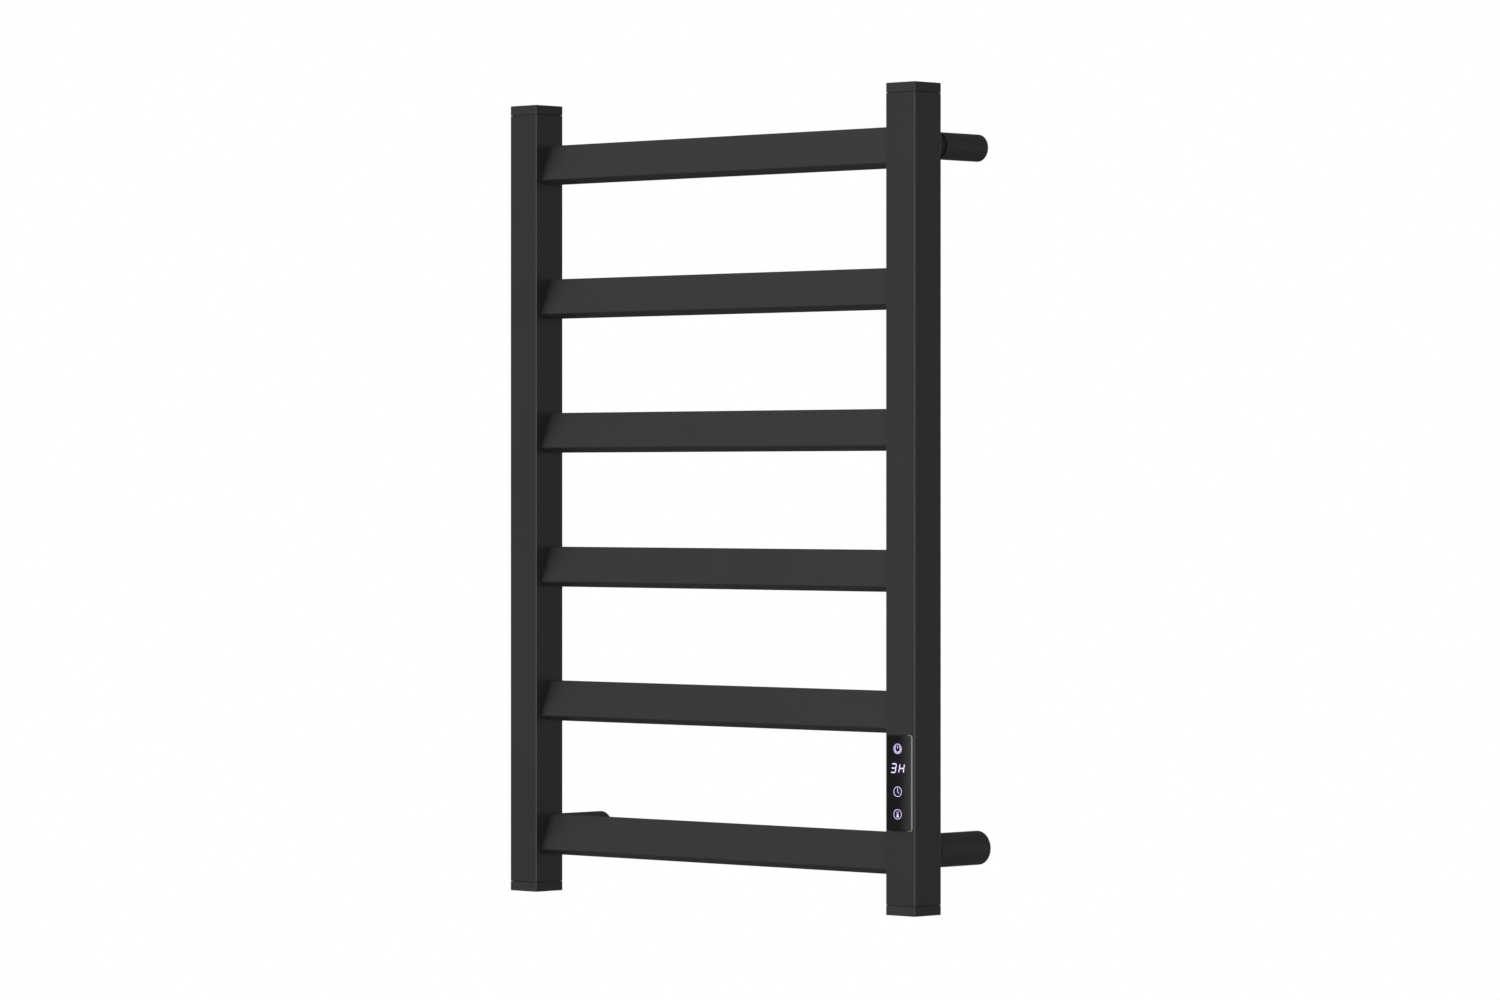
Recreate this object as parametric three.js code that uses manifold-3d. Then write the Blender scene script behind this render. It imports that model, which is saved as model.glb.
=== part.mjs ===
// Wall-hung electric towel warmer rack: two square posts, six leaning rungs, four telescopic
// standoffs and a touch control panel. Millimetres, +X to the right, +Y towards the wall, +Z up.
// The origin is the middle of the four wall fixings, on the wall plane.

import * as THREE from 'three';
import { mergeVertices } from 'three/addons/utils/BufferGeometryUtils.js';
import Module from 'manifold-3d';

const wasm = await Module();
wasm.setup();

// ---------------------------------------------------------------- driving dimensions

const GAP = 0.3; // clearance left between neighbouring pieces
const OVERSHOOT = 1; // how far a cutting tool runs past the faces it cuts
const WELD_DISTANCE = 1e-4;
const ARC_SEGMENTS = 2; // steps to each quarter of a rounded outline's arcs

const RACK = { height: 850, postPitch: 550, frontToWall: 120, lowFixing: 64.5 };

const POST = { width: 40, wall: 2, radius: 1.5, innerRadius: 0.5 };

const CAP = { thickness: 10, edge: 0.5, plugLength: 12, plugWall: 2 };

// The rung's section is a leaning parallelogram. Depths run back from the posts' front faces,
// heights up from the rung's lowest point.
const RUNG = {
  count: 6,
  pitch: 144.55,
  lowest: 40.55,
  noseDepth: 7.1,
  noseHeight: 5.4,
  faceLength: 41.25,
  faceLean: THREE.MathUtils.degToRad(21.3),
  underLength: 12.1,
  underSlope: THREE.MathUtils.degToRad(30),
  radius: 1.5,
  wall: 1.4,
  intoPost: 3,
};

// A standoff is a neck on the post that slides in a sleeve held on a wall socket.
const TOP_STANDOFF = {
  sleeveRadius: 14.1,
  neckRadius: 12.4,
  bareNeck: 16,
  engagement: 30,
  shankRadius: 3.9,
  shankBore: 0,
  nutRadius: 5.6,
  nutBulge: 7.4,
  nutFlange: 7.6,
  socketHole: 2.75,
  socketHoles: [0],
};
const BOTTOM_STANDOFF = {
  sleeveRadius: 17.6,
  neckRadius: 15.9,
  bareNeck: 4,
  engagement: 34,
  shankRadius: 9.7,
  shankBore: 6.8,
  nutRadius: 13.6,
  socketHole: 2.25,
  socketHoles: [-11, 11],
  cableHole: 6.8,
};
const STANDOFF = {
  segments: 32,
  shankLength: 12,
  flatDepth: 1.5,
  flatSetback: 3,
  neckScrewSetback: 9.5,
  socketLength: 14,
  socketScrewFromWall: 7,
  counterboreRadius: 5.2,
  counterboreDepth: 5,
  nutRecess: 1.5,
  rivetFlange: 0.8,
  rivetBulgeLength: 4,
  rivetLength: 13,
  ringNutLength: 5.5,
};

const GRUB = { radius: 2.4, socketScrewLength: 6, hexRadius: 1.4, hexDepth: 1, segments: 12 };

const PANEL = {
  width: 34.8,
  height: 99,
  radius: 3.8,
  proud: 1.8,
  seatGap: 0.2,
  low: 86,
  rim: 0.7,
  pocketDepth: 0.9,
  glassThickness: 0.7,
  trayWidth: 29,
  trayHeight: 92,
  trayRadius: 1,
  trayDepth: 20,
  trayWall: 1.5,
  wireSlotWidth: 18,
  wireSlotDepth: 12,
};

const BOARD = { width: 24, height: 84, thickness: 1.6, frontDepth: 2.6, powerDepth: 11 };
const DIGITS = { width: 22, height: 13, fromTop: 34.3 };
const TOUCH_PAD = { radius: 5.5, fromTop: [14.6, 58.3, 81.3] };
const HEADER = { width: 18, height: 3, fromTop: 22 };
const RELAY = { width: 12, height: 18, depth: 5.2, fromBottom: 26 };
const TRANSFORMER = { width: 16, height: 16, depth: 5, fromBottom: 50 };
const BOSS = { radius: 2.6, hole: 1.5, inset: 4.5 };
const BOARD_SCREW = { head: 2.3, headHeight: 1.4, shank: 1.2, length: 4.6, segments: 12 };

const TERMINAL = { width: 26, depth: 14, height: 17, low: 188, pole: 2.2, poleDepth: 6, poles: 3 };
const CABLE = { radius: 2, bend: 8, bendSteps: 3, sides: 8, behindPostFront: 24, height: 27 };
const CABLE_RUN = { linkFromInnerFace: 11, riserFromOuterFace: 10 };
const LEAD = { radius: 1.1, sides: 6, side: 7, dip: 3 };
const SENSOR = { radius: 2.5, length: 22, low: 240, depth: 5 };
const CUTOUT = { bodyRadius: 8, bodyDepth: 5.5, capRadius: 6.4, capDepth: 3.4, height: 250 };
const EARTH_SCREW = { head: 3.8, headHeight: 2.6, shank: 2, height: 28, segments: 16 };
const GLAND = { bore: 4, flange: 9, flangeThickness: 1.5, neck: 6.4, length: 8 };

// ---------------------------------------------------------------- places worked out from them

const POST_INNER = POST.width - 2 * POST.wall;
const POST_BOTTOM = -(RACK.lowFixing + ((RUNG.count - 1) * RUNG.pitch) / 2);
const POST_FRONT = -RACK.frontToWall;
const POST_REAR = POST_FRONT + POST.width;
const POST_MIDDLE = (POST_FRONT + POST_REAR) / 2;
const HALF_PITCH = RACK.postPitch / 2;
const INNER_FACE = HALF_PITCH - POST.width / 2;
const HIGH_FIXING = RACK.lowFixing + (RUNG.count - 1) * RUNG.pitch;

const rungBase = (number) => RUNG.lowest + (RUNG.count - number) * RUNG.pitch;

// ---------------------------------------------------------------- finishes

const FINISHES = {
  powderCoat: { color: 0x343434, roughness: 0.55, metalness: 0 },
  capPlastic: { color: 0x303030, roughness: 0.6, metalness: 0 },
  panelPlastic: { color: 0x1c1c1e, roughness: 0.45, metalness: 0 },
  panelGlass: { color: 0x0d0d10, roughness: 0.08, metalness: 0 },
  zincSteel: { color: 0xb4b6b8, roughness: 0.35, metalness: 1 },
  blackSteel: { color: 0x2a2a2a, roughness: 0.45, metalness: 1 },
  aluminium: { color: 0xc4c6c8, roughness: 0.4, metalness: 1 },
  rubber: { color: 0x161616, roughness: 0.9, metalness: 0 },
  circuitBoard: { color: 0x1d5a34, roughness: 0.5, metalness: 0 },
  terminalPlastic: { color: 0xd8d4c4, roughness: 0.5, metalness: 0 },
  silicone: { color: 0xb9321f, roughness: 0.6, metalness: 0 },
  leadInsulation: { color: 0xdedede, roughness: 0.6, metalness: 0 },
};

function piece(name, finish, geometry, x = 0, y = 0, z = 0) {
  const mesh = new THREE.Mesh(geometry, new THREE.MeshStandardMaterial(FINISHES[finish]));
  mesh.name = name;
  mesh.position.set(x, y, z);
  return mesh;
}

// ---------------------------------------------------------------- solids

function weld(geometry) {
  const plain = geometry.clone();
  plain.deleteAttribute('normal');
  plain.deleteAttribute('uv');
  const merged = mergeVertices(plain, WELD_DISTANCE);
  const corners = merged.index.array;
  const kept = [];
  for (let i = 0; i < corners.length; i += 3) {
    const [a, b, c] = corners.slice(i, i + 3);
    if (a !== b && b !== c && c !== a) {
      kept.push(a, b, c);
    }
  }
  merged.setIndex(kept);
  return merged;
}

function toSolid(geometry) {
  const merged = weld(geometry);
  const vertProperties = new Float32Array(merged.attributes.position.array);
  const triVerts = new Uint32Array(merged.index.array);
  return new wasm.Manifold(new wasm.Mesh({ numProp: 3, vertProperties, triVerts }));
}

function toGeometry(solid) {
  const mesh = solid.getMesh();
  const geometry = new THREE.BufferGeometry();
  const position = new THREE.BufferAttribute(new Float32Array(mesh.vertProperties), 3);
  geometry.setAttribute('position', position);
  geometry.setIndex(Array.from(mesh.triVerts));
  geometry.computeVertexNormals();
  return geometry;
}

function shaped(base, { add = [], cut = [] }) {
  let solid = toSolid(base);
  for (const extra of add) {
    solid = solid.add(toSolid(extra));
  }
  for (const tool of cut) {
    solid = solid.subtract(toSolid(tool));
  }
  return toGeometry(solid);
}

// A box given by its middle in X and Y and its lowest Z.
function block(width, depth, height, x = 0, y = 0, z = 0) {
  return new THREE.BoxGeometry(width, depth, height).translate(x, y, z + height / 2);
}

// A round bar along Y, from one Y to another.
function barY(radius, from, to, segments, x = 0, z = 0) {
  const bar = new THREE.CylinderGeometry(radius, radius, Math.abs(to - from), segments);
  return bar.translate(x, (from + to) / 2, z);
}

// A round bar along Z, from one Z to another.
function barZ(radius, from, to, segments, x = 0, y = 0) {
  const bar = new THREE.CylinderGeometry(radius, radius, Math.abs(to - from), segments);
  return bar.rotateX(Math.PI / 2).translate(x, y, (from + to) / 2);
}

// A turned solid about the Y axis. The profile's points are [radius, y], anticlockwise.
function turned(profile, segments = STANDOFF.segments) {
  const points = profile.map(([radius, y]) => new THREE.Vector2(radius, y));
  points.push(points[0].clone());
  return new THREE.LatheGeometry(points, segments);
}

// An outline with a round of the given radius at every corner. Corners run anticlockwise.
function rounded(corners, radius) {
  const shape = new THREE.Shape();
  corners.forEach((corner, i) => {
    const before = corners[(i + corners.length - 1) % corners.length];
    const after = corners[(i + 1) % corners.length];
    const back = before.clone().sub(corner).normalize();
    const ahead = after.clone().sub(corner).normalize();
    const halfAngle = Math.acos(back.dot(ahead)) / 2;
    const inward = back.clone().add(ahead).normalize();
    const centre = corner.clone().addScaledVector(inward, radius / Math.sin(halfAngle));
    const start = corner.clone().addScaledVector(back, radius / Math.tan(halfAngle));
    const end = corner.clone().addScaledVector(ahead, radius / Math.tan(halfAngle));
    const startAngle = start.sub(centre).angle();
    const endAngle = end.sub(centre).angle();
    shape.absarc(centre.x, centre.y, radius, startAngle, endAngle, false);
  });
  return shape;
}

// The corners of a convex outline moved outwards by a distance.
function offset(corners, distance) {
  return corners.map((corner, i) => {
    const before = corners[(i + corners.length - 1) % corners.length];
    const after = corners[(i + 1) % corners.length];
    const arriving = corner.clone().sub(before).normalize();
    const leaving = after.clone().sub(corner).normalize();
    const normalIn = new THREE.Vector2(arriving.y, -arriving.x);
    const normalOut = new THREE.Vector2(leaving.y, -leaving.x);
    const shift = normalIn.clone().add(normalOut).divideScalar(1 + normalIn.dot(normalOut));
    return corner.clone().addScaledVector(shift, distance);
  });
}

function rectangle(width, height) {
  const [x, y] = [width / 2, height / 2];
  return [[-x, -y], [x, -y], [x, y], [-x, y]].map(([px, py]) => new THREE.Vector2(px, py));
}

function extruded(shape, depth, curveSegments, bevel = 0) {
  return new THREE.ExtrudeGeometry(shape, {
    depth: depth - 2 * bevel,
    curveSegments,
    bevelEnabled: bevel > 0,
    bevelThickness: bevel,
    bevelSize: bevel,
    bevelOffset: -bevel,
    bevelSegments: 1,
  }).translate(0, 0, bevel);
}

// Turns a section drawn in X and Y and extruded along Z so that it is drawn in Y and Z and
// runs along X, centred on X = 0.
function alongX(geometry, length) {
  const turn = new THREE.Matrix4().makeBasis(
    new THREE.Vector3(0, 1, 0),
    new THREE.Vector3(0, 0, 1),
    new THREE.Vector3(1, 0, 0),
  );
  return geometry.translate(0, 0, -length / 2).applyMatrix4(turn);
}

// Turns a section drawn in X and Y and extruded along Z so that it is drawn in X and Z and
// runs along Y, from a lowest Y.
function alongY(geometry, length, from) {
  return geometry.rotateX(Math.PI / 2).translate(0, from + length, 0);
}

// ---------------------------------------------------------------- rungs

function rungCorners() {
  const nose = new THREE.Vector2(RUNG.noseDepth, RUNG.noseHeight);
  const face = new THREE.Vector2(Math.sin(RUNG.faceLean), Math.cos(RUNG.faceLean));
  const under = new THREE.Vector2(Math.cos(RUNG.underSlope), -Math.sin(RUNG.underSlope));
  const keel = nose.clone().addScaledVector(under, RUNG.underLength);
  const crest = nose.clone().addScaledVector(face, RUNG.faceLength);
  const back = crest.clone().addScaledVector(under, RUNG.underLength);
  return [nose, keel, back, crest];
}

function rungTube() {
  const length = 2 * (INNER_FACE + RUNG.intoPost);
  const section = rounded(rungCorners(), RUNG.radius);
  section.holes.push(rounded(offset(rungCorners(), -RUNG.wall), RUNG.radius / 2));
  return alongX(extruded(section, length, ARC_SEGMENTS), length);
}

function rungSlot() {
  const length = POST.wall + 2 * OVERSHOOT;
  const section = rounded(offset(rungCorners(), GAP), RUNG.radius + GAP);
  return alongX(extruded(section, length, ARC_SEGMENTS), length);
}

function addRungs(rack) {
  for (let number = 1; number <= RUNG.count; number += 1) {
    const z = POST_BOTTOM + rungBase(number);
    rack.add(piece(`rung_${number}`, 'powderCoat', rungTube(), 0, POST_FRONT, z));
  }
}

// ---------------------------------------------------------------- posts and caps

function squareTube(outer, outerRadius, wall, innerRadius, length) {
  const section = rounded(rectangle(outer, outer), outerRadius);
  const inner = outer - 2 * wall;
  section.holes.push(rounded(rectangle(inner, inner), innerRadius));
  return extruded(section, length, ARC_SEGMENTS);
}

function standoffHoleRadius(standoff) {
  return (standoff.shankBore > 0 ? standoff.shankRadius : standoff.nutRadius) + GAP;
}

// A post in its own frame: Z = 0 at its foot, X and Y on its middle. The rungs enter the side
// that faces the other post.
function postTube(side) {
  const length = RACK.height - 2 * (CAP.thickness + GAP);
  const tube = squareTube(POST.width, POST.radius, POST.wall, POST.innerRadius, length);
  tube.translate(0, 0, CAP.thickness + GAP);
  const slotX = -side * (POST.width / 2 - POST.wall / 2);
  const cuts = [];
  for (let number = 1; number <= RUNG.count; number += 1) {
    cuts.push(rungSlot().translate(slotX, -POST.width / 2, rungBase(number)));
  }
  const rear = [POST_INNER / 2 - OVERSHOOT, POST.width / 2 + OVERSHOOT];
  const holes = [
    [TOP_STANDOFF, HIGH_FIXING],
    [BOTTOM_STANDOFF, RACK.lowFixing],
  ];
  for (const [standoff, height] of holes) {
    const radius = standoffHoleRadius(standoff);
    cuts.push(barY(radius, rear[0], rear[1], STANDOFF.segments, 0, height));
  }
  if (side > 0) {
    cuts.push(panelWindow());
    cuts.push(barY(EARTH_SCREW.shank + GAP, rear[0], rear[1], EARTH_SCREW.segments, 0,
      EARTH_SCREW.height));
  }
  return shaped(tube, { cut: cuts });
}

function panelWindow() {
  const width = PANEL.trayWidth + 2 * GAP;
  const height = PANEL.trayHeight + 2 * GAP;
  const outline = rounded(rectangle(width, height), PANEL.trayRadius + GAP);
  const depth = POST.wall + 2 * OVERSHOOT;
  const window = alongY(extruded(outline, depth, ARC_SEGMENTS), depth,
    -POST.width / 2 - OVERSHOOT);
  return window.translate(0, 0, PANEL.low + PANEL.height / 2);
}

// A cap in its own frame: Z = 0 on its outer face, the plug pointing up.
function capWithPlug() {
  const square = rounded(rectangle(POST.width, POST.width), POST.radius);
  const plate = extruded(square, CAP.thickness, ARC_SEGMENTS, CAP.edge);
  const plugWidth = POST_INNER - 2 * GAP;
  const plugHeight = CAP.plugLength + OVERSHOOT;
  const plug = squareTube(plugWidth, POST.innerRadius, CAP.plugWall, POST.innerRadius, plugHeight);
  plug.translate(0, 0, CAP.thickness - OVERSHOOT);
  return shaped(plate, { add: [plug] });
}

function addPosts(rack) {
  for (const [name, side] of [['left', -1], ['right', 1]]) {
    const post = new THREE.Group();
    post.position.set(side * HALF_PITCH, POST_MIDDLE, POST_BOTTOM);
    post.add(piece(`${name}_post`, 'powderCoat', postTube(side)));
    post.add(piece(`cap_bottom_${name}`, 'capPlastic', capWithPlug()));
    const top = piece(`cap_top_${name}`, 'capPlastic', capWithPlug(), 0, 0, RACK.height);
    top.rotation.x = Math.PI;
    post.add(top);
    rack.add(post);
  }
}

// ---------------------------------------------------------------- standoffs

// Every standoff piece is turned about Y, with Y = 0 on the wall and Z = 0 on the fixing.

const sleeveFront = (standoff) => POST_REAR + standoff.bareNeck;
const neckScrewY = (standoff) => sleeveFront(standoff) + STANDOFF.neckScrewSetback;

function neck(standoff) {
  const front = POST_REAR + GAP;
  const rear = sleeveFront(standoff) + standoff.engagement;
  const tip = POST_REAR - STANDOFF.shankLength;
  const recess = standoff.nutFlange ? standoff.nutFlange + GAP : standoff.shankRadius;
  const recessFloor = standoff.nutFlange ? front + STANDOFF.nutRecess : front;
  const profile = [
    [standoff.shankBore, tip],
    [standoff.shankRadius, tip],
    [standoff.shankRadius, recessFloor],
  ];
  if (recess > standoff.shankRadius) {
    profile.push([recess, recessFloor], [recess, front]);
  }
  profile.push([standoff.neckRadius, front], [standoff.neckRadius, rear], [standoff.shankBore, rear]);
  const width = 2 * standoff.neckRadius;
  const flatStart = sleeveFront(standoff) + STANDOFF.flatSetback;
  const flatLength = rear - flatStart + OVERSHOOT;
  const top = STANDOFF.flatDepth - standoff.neckRadius;
  const flat = block(width, flatLength, standoff.neckRadius, 0, flatStart + flatLength / 2,
    top - standoff.neckRadius);
  return shaped(turned(profile), { cut: [flat] });
}

function sleeve(standoff) {
  const inner = standoff.neckRadius + GAP;
  const [front, rear] = [sleeveFront(standoff), -GAP];
  const tube = turned([
    [inner, front],
    [standoff.sleeveRadius, front],
    [standoff.sleeveRadius, rear],
    [inner, rear],
  ]);
  const holes = [neckScrewY(standoff), -STANDOFF.socketScrewFromWall].map((y) => (
    barZ(GRUB.radius + GAP, -standoff.sleeveRadius - OVERSHOOT, -standoff.neckRadius / 2,
      GRUB.segments, 0, y)
  ));
  return shaped(tube, { cut: holes });
}

function wallSocket(standoff) {
  const front = -STANDOFF.socketLength;
  const plug = barY(standoff.neckRadius, front, 0, STANDOFF.segments);
  const cuts = standoff.socketHoles.map((x) => (
    barY(standoff.socketHole, front - OVERSHOOT, OVERSHOOT, GRUB.segments, x)
  ));
  if (standoff.cableHole) {
    cuts.push(barY(standoff.cableHole, front - OVERSHOOT, OVERSHOOT, STANDOFF.segments));
  } else {
    const floor = front + STANDOFF.counterboreDepth;
    cuts.push(barY(STANDOFF.counterboreRadius, front - OVERSHOOT, floor, STANDOFF.segments));
  }
  const deepest = GRUB.socketScrewLength + 2 * GAP - standoff.sleeveRadius;
  cuts.push(barZ(GRUB.radius + GAP, -standoff.sleeveRadius - OVERSHOOT, deepest,
    GRUB.segments, 0, -STANDOFF.socketScrewFromWall));
  return shaped(plug, { cut: cuts });
}

// A headless screw that runs up from the sleeve's underside, with a hexagon socket.
function grubScrew(standoff, length, y) {
  const foot = GAP - standoff.sleeveRadius;
  const screw = barZ(GRUB.radius, foot, foot + length, GRUB.segments, 0, y);
  const hex = barZ(GRUB.hexRadius, foot - OVERSHOOT, foot + GRUB.hexDepth, 6, 0, y);
  return shaped(screw, { cut: [hex] });
}

// The distance from the sleeve's outside to the flat on the neck, less the two gaps.
function neckScrewLength(standoff) {
  return standoff.sleeveRadius - standoff.neckRadius + STANDOFF.flatDepth - 2 * GAP;
}

function rivetNut(standoff) {
  const bore = standoff.shankRadius + GAP;
  const outside = POST_REAR + GAP;
  const inside = POST_REAR - POST.wall - GAP;
  return turned([
    [bore, outside - STANDOFF.rivetLength],
    [standoff.nutRadius, outside - STANDOFF.rivetLength],
    [standoff.nutRadius, inside - STANDOFF.rivetBulgeLength],
    [standoff.nutBulge, inside - STANDOFF.rivetBulgeLength / 2],
    [standoff.nutRadius, inside],
    [standoff.nutRadius, outside],
    [standoff.nutFlange, outside],
    [standoff.nutFlange, outside + STANDOFF.rivetFlange],
    [bore, outside + STANDOFF.rivetFlange],
  ], STANDOFF.segments / 2);
}

function ringNut(standoff) {
  const face = POST_REAR - POST.wall - GAP;
  const nut = barY(standoff.nutRadius, face - STANDOFF.ringNutLength, face, 6);
  const bore = barY(standoff.shankRadius + GAP, face - STANDOFF.ringNutLength - OVERSHOOT,
    face + OVERSHOOT, STANDOFF.segments);
  return shaped(nut, { cut: [bore] });
}

function cableGland(standoff) {
  const tip = POST_REAR - STANDOFF.shankLength - GAP;
  return turned([
    [GLAND.bore, tip - GLAND.flangeThickness],
    [GLAND.flange, tip - GLAND.flangeThickness],
    [GLAND.flange, tip],
    [standoff.shankBore - GAP, tip],
    [standoff.shankBore - GAP, tip + GLAND.length],
    [GLAND.bore, tip + GLAND.length],
  ], STANDOFF.segments / 2);
}

function addStandoffs(rack) {
  const levels = [
    ['top', TOP_STANDOFF, POST_BOTTOM + HIGH_FIXING],
    ['bottom', BOTTOM_STANDOFF, POST_BOTTOM + RACK.lowFixing],
  ];
  for (const [level, standoff, height] of levels) {
    for (const [side, x] of [['left', -HALF_PITCH], ['right', HALF_PITCH]]) {
      const place = new THREE.Group();
      place.position.set(x, 0, height);
      const socketScrewY = -STANDOFF.socketScrewFromWall;
      const nut = standoff.nutFlange ? rivetNut(standoff) : ringNut(standoff);
      place.add(
        piece(`wall_socket_${level}_${side}`, 'aluminium', wallSocket(standoff)),
        piece(`sleeve_${level}_${side}`, 'powderCoat', sleeve(standoff)),
        piece(`neck_${level}_${side}`, 'powderCoat', neck(standoff)),
        piece(`neck_nut_${level}_${side}`, 'zincSteel', nut),
        piece(`neck_screw_${level}_${side}`, 'blackSteel',
          grubScrew(standoff, neckScrewLength(standoff), neckScrewY(standoff))),
        piece(`socket_screw_${level}_${side}`, 'blackSteel',
          grubScrew(standoff, GRUB.socketScrewLength, socketScrewY)),
      );
      rack.add(place);
    }
  }
  rack.add(piece('cable_gland', 'rubber', cableGland(BOTTOM_STANDOFF), HALF_PITCH, 0,
    POST_BOTTOM + RACK.lowFixing));
}

// ---------------------------------------------------------------- touch panel

// Panel pieces are drawn with Z = 0 at the panel's middle and Y = 0 on the post's front face.

function plateY(width, height, radius, from, to) {
  const outline = rounded(rectangle(width, height), radius);
  return alongY(extruded(outline, to - from, ARC_SEGMENTS), to - from, from);
}

const PANEL_FLOOR = PANEL.pocketDepth - PANEL.proud;
const TRAY_BACK = PANEL.trayDepth - PANEL.trayWall;
const BOSS_HEIGHTS = [
  BOSS.inset - BOARD.height / 2,
  BOARD.height / 2 - BOSS.inset - 2 * PANEL.trayWall,
];

function panelHousing() {
  const flange = plateY(PANEL.width, PANEL.height, PANEL.radius, -PANEL.proud, -PANEL.seatGap);
  const tray = plateY(PANEL.trayWidth, PANEL.trayHeight, PANEL.trayRadius,
    PANEL_FLOOR, PANEL.trayDepth);
  const pocket = plateY(PANEL.width - 2 * PANEL.rim, PANEL.height - 2 * PANEL.rim,
    PANEL.radius - PANEL.rim, -PANEL.proud - OVERSHOOT, PANEL_FLOOR);
  const hollow = plateY(PANEL.trayWidth - 2 * PANEL.trayWall,
    PANEL.trayHeight - 2 * PANEL.trayWall, PANEL.trayRadius / 2, PANEL_FLOOR - OVERSHOOT, TRAY_BACK);
  const wireSlot = block(PANEL.wireSlotWidth, PANEL.wireSlotDepth, PANEL.trayHeight / 2, 0,
    TRAY_BACK - PANEL.wireSlotDepth / 2, PANEL.trayHeight / 2 - 2 * PANEL.trayWall);
  const bosses = BOSS_HEIGHTS.map((z) => (
    barY(BOSS.radius, BOARD.powerDepth + BOARD.thickness + GAP, TRAY_BACK + OVERSHOOT / 2,
      EARTH_SCREW.segments, 0, z)
  ));
  const holes = BOSS_HEIGHTS.map((z) => (
    barY(BOSS.hole, BOARD.powerDepth, TRAY_BACK, BOARD_SCREW.segments, 0, z)
  ));
  const shell = shaped(flange, { add: [tray], cut: [pocket, hollow, wireSlot] });
  return shaped(shell, { add: bosses, cut: holes });
}

function touchGlass() {
  const inset = PANEL.rim + GAP;
  const front = PANEL_FLOOR - PANEL.seatGap - PANEL.glassThickness + GAP / 3;
  return plateY(PANEL.width - 2 * inset, PANEL.height - 2 * inset, PANEL.radius - inset,
    front, front + PANEL.glassThickness);
}

// The board behind the glass, with its digit block, touch pads and pin header.
function displayBoard() {
  const top = PANEL.height / 2;
  const front = PANEL_FLOOR + GAP;
  const board = block(BOARD.width, BOARD.thickness, BOARD.height, 0,
    BOARD.frontDepth + BOARD.thickness / 2, -BOARD.height / 2);
  const digitDepth = BOARD.frontDepth - front + OVERSHOOT / 2;
  const digits = block(DIGITS.width, digitDepth, DIGITS.height, 0, front + digitDepth / 2,
    top - DIGITS.fromTop - DIGITS.height / 2);
  const pads = TOUCH_PAD.fromTop.map((fromTop) => (
    barY(TOUCH_PAD.radius, front, BOARD.frontDepth + OVERSHOOT / 2, EARTH_SCREW.segments, 0,
      top - fromTop)
  ));
  const headerFront = BOARD.frontDepth + BOARD.thickness - OVERSHOOT / 2;
  const headerDepth = BOARD.powerDepth - GAP - headerFront;
  const header = block(HEADER.width, headerDepth, HEADER.height, 0,
    headerFront + headerDepth / 2, top - HEADER.fromTop);
  return shaped(board, { add: [digits, header, ...pads] });
}

// The power board in the tray, with its relay and transformer on the rear face.
function controlBoard() {
  const rear = BOARD.powerDepth + BOARD.thickness;
  const board = block(BOARD.width, BOARD.thickness, BOARD.height, 0,
    rear - BOARD.thickness / 2, -BOARD.height / 2);
  const parts = [RELAY, TRANSFORMER].map((part) => (
    block(part.width, part.depth + OVERSHOOT / 2, part.height, 0,
      rear - OVERSHOOT / 2 + (part.depth + OVERSHOOT / 2) / 2,
      part.fromBottom - BOARD.height / 2)
  ));
  const holes = BOSS_HEIGHTS.map((z) => (
    barY(BOARD_SCREW.shank + GAP, 0, rear + OVERSHOOT, BOARD_SCREW.segments, 0, z)
  ));
  return shaped(board, { add: parts, cut: holes });
}

function boardScrew() {
  const underHead = BOARD.powerDepth - GAP;
  return turned([
    [0, underHead - BOARD_SCREW.headHeight],
    [BOARD_SCREW.head, underHead - BOARD_SCREW.headHeight],
    [BOARD_SCREW.head, underHead],
    [BOARD_SCREW.shank, underHead],
    [BOARD_SCREW.shank, underHead + BOARD_SCREW.length],
    [0, underHead + BOARD_SCREW.length],
  ], BOARD_SCREW.segments);
}

function addPanel(rack) {
  const panel = new THREE.Group();
  panel.position.set(HALF_PITCH, POST_FRONT, POST_BOTTOM + PANEL.low + PANEL.height / 2);
  panel.add(
    piece('panel_housing', 'panelPlastic', panelHousing()),
    piece('touch_glass', 'panelGlass', touchGlass()),
    piece('display_board', 'circuitBoard', displayBoard()),
    piece('control_board', 'circuitBoard', controlBoard()),
    piece('board_screw_lower', 'zincSteel', boardScrew(), 0, 0, BOSS_HEIGHTS[0]),
    piece('board_screw_upper', 'zincSteel', boardScrew(), 0, 0, BOSS_HEIGHTS[1]),
  );
  rack.add(panel);
}

// ---------------------------------------------------------------- heating and wiring

// A path through chosen stations, so that straight stretches need no steps of their own.
class StationPath extends THREE.Curve {
  constructor(stations) {
    super();
    this.stations = stations;
  }

  getPoint(t) {
    const place = t * (this.stations.length - 1);
    const first = Math.min(Math.floor(place), this.stations.length - 2);
    return this.stations[first].clone().lerp(this.stations[first + 1], place - first);
  }

  getUtoTmapping(u) {
    return u;
  }
}

// The stations of a path through corners, with every inner corner bent to a radius.
function bentPath(corners, bend) {
  const stations = [corners[0]];
  for (let i = 1; i < corners.length - 1; i += 1) {
    const back = corners[i - 1].clone().sub(corners[i]).normalize();
    const ahead = corners[i + 1].clone().sub(corners[i]).normalize();
    const start = corners[i].clone().addScaledVector(back, bend);
    const end = corners[i].clone().addScaledVector(ahead, bend);
    const curve = new THREE.QuadraticBezierCurve3(start, corners[i], end);
    stations.push(...curve.getPoints(CABLE.bendSteps));
  }
  stations.push(corners[corners.length - 1]);
  return new StationPath(stations);
}

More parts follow.
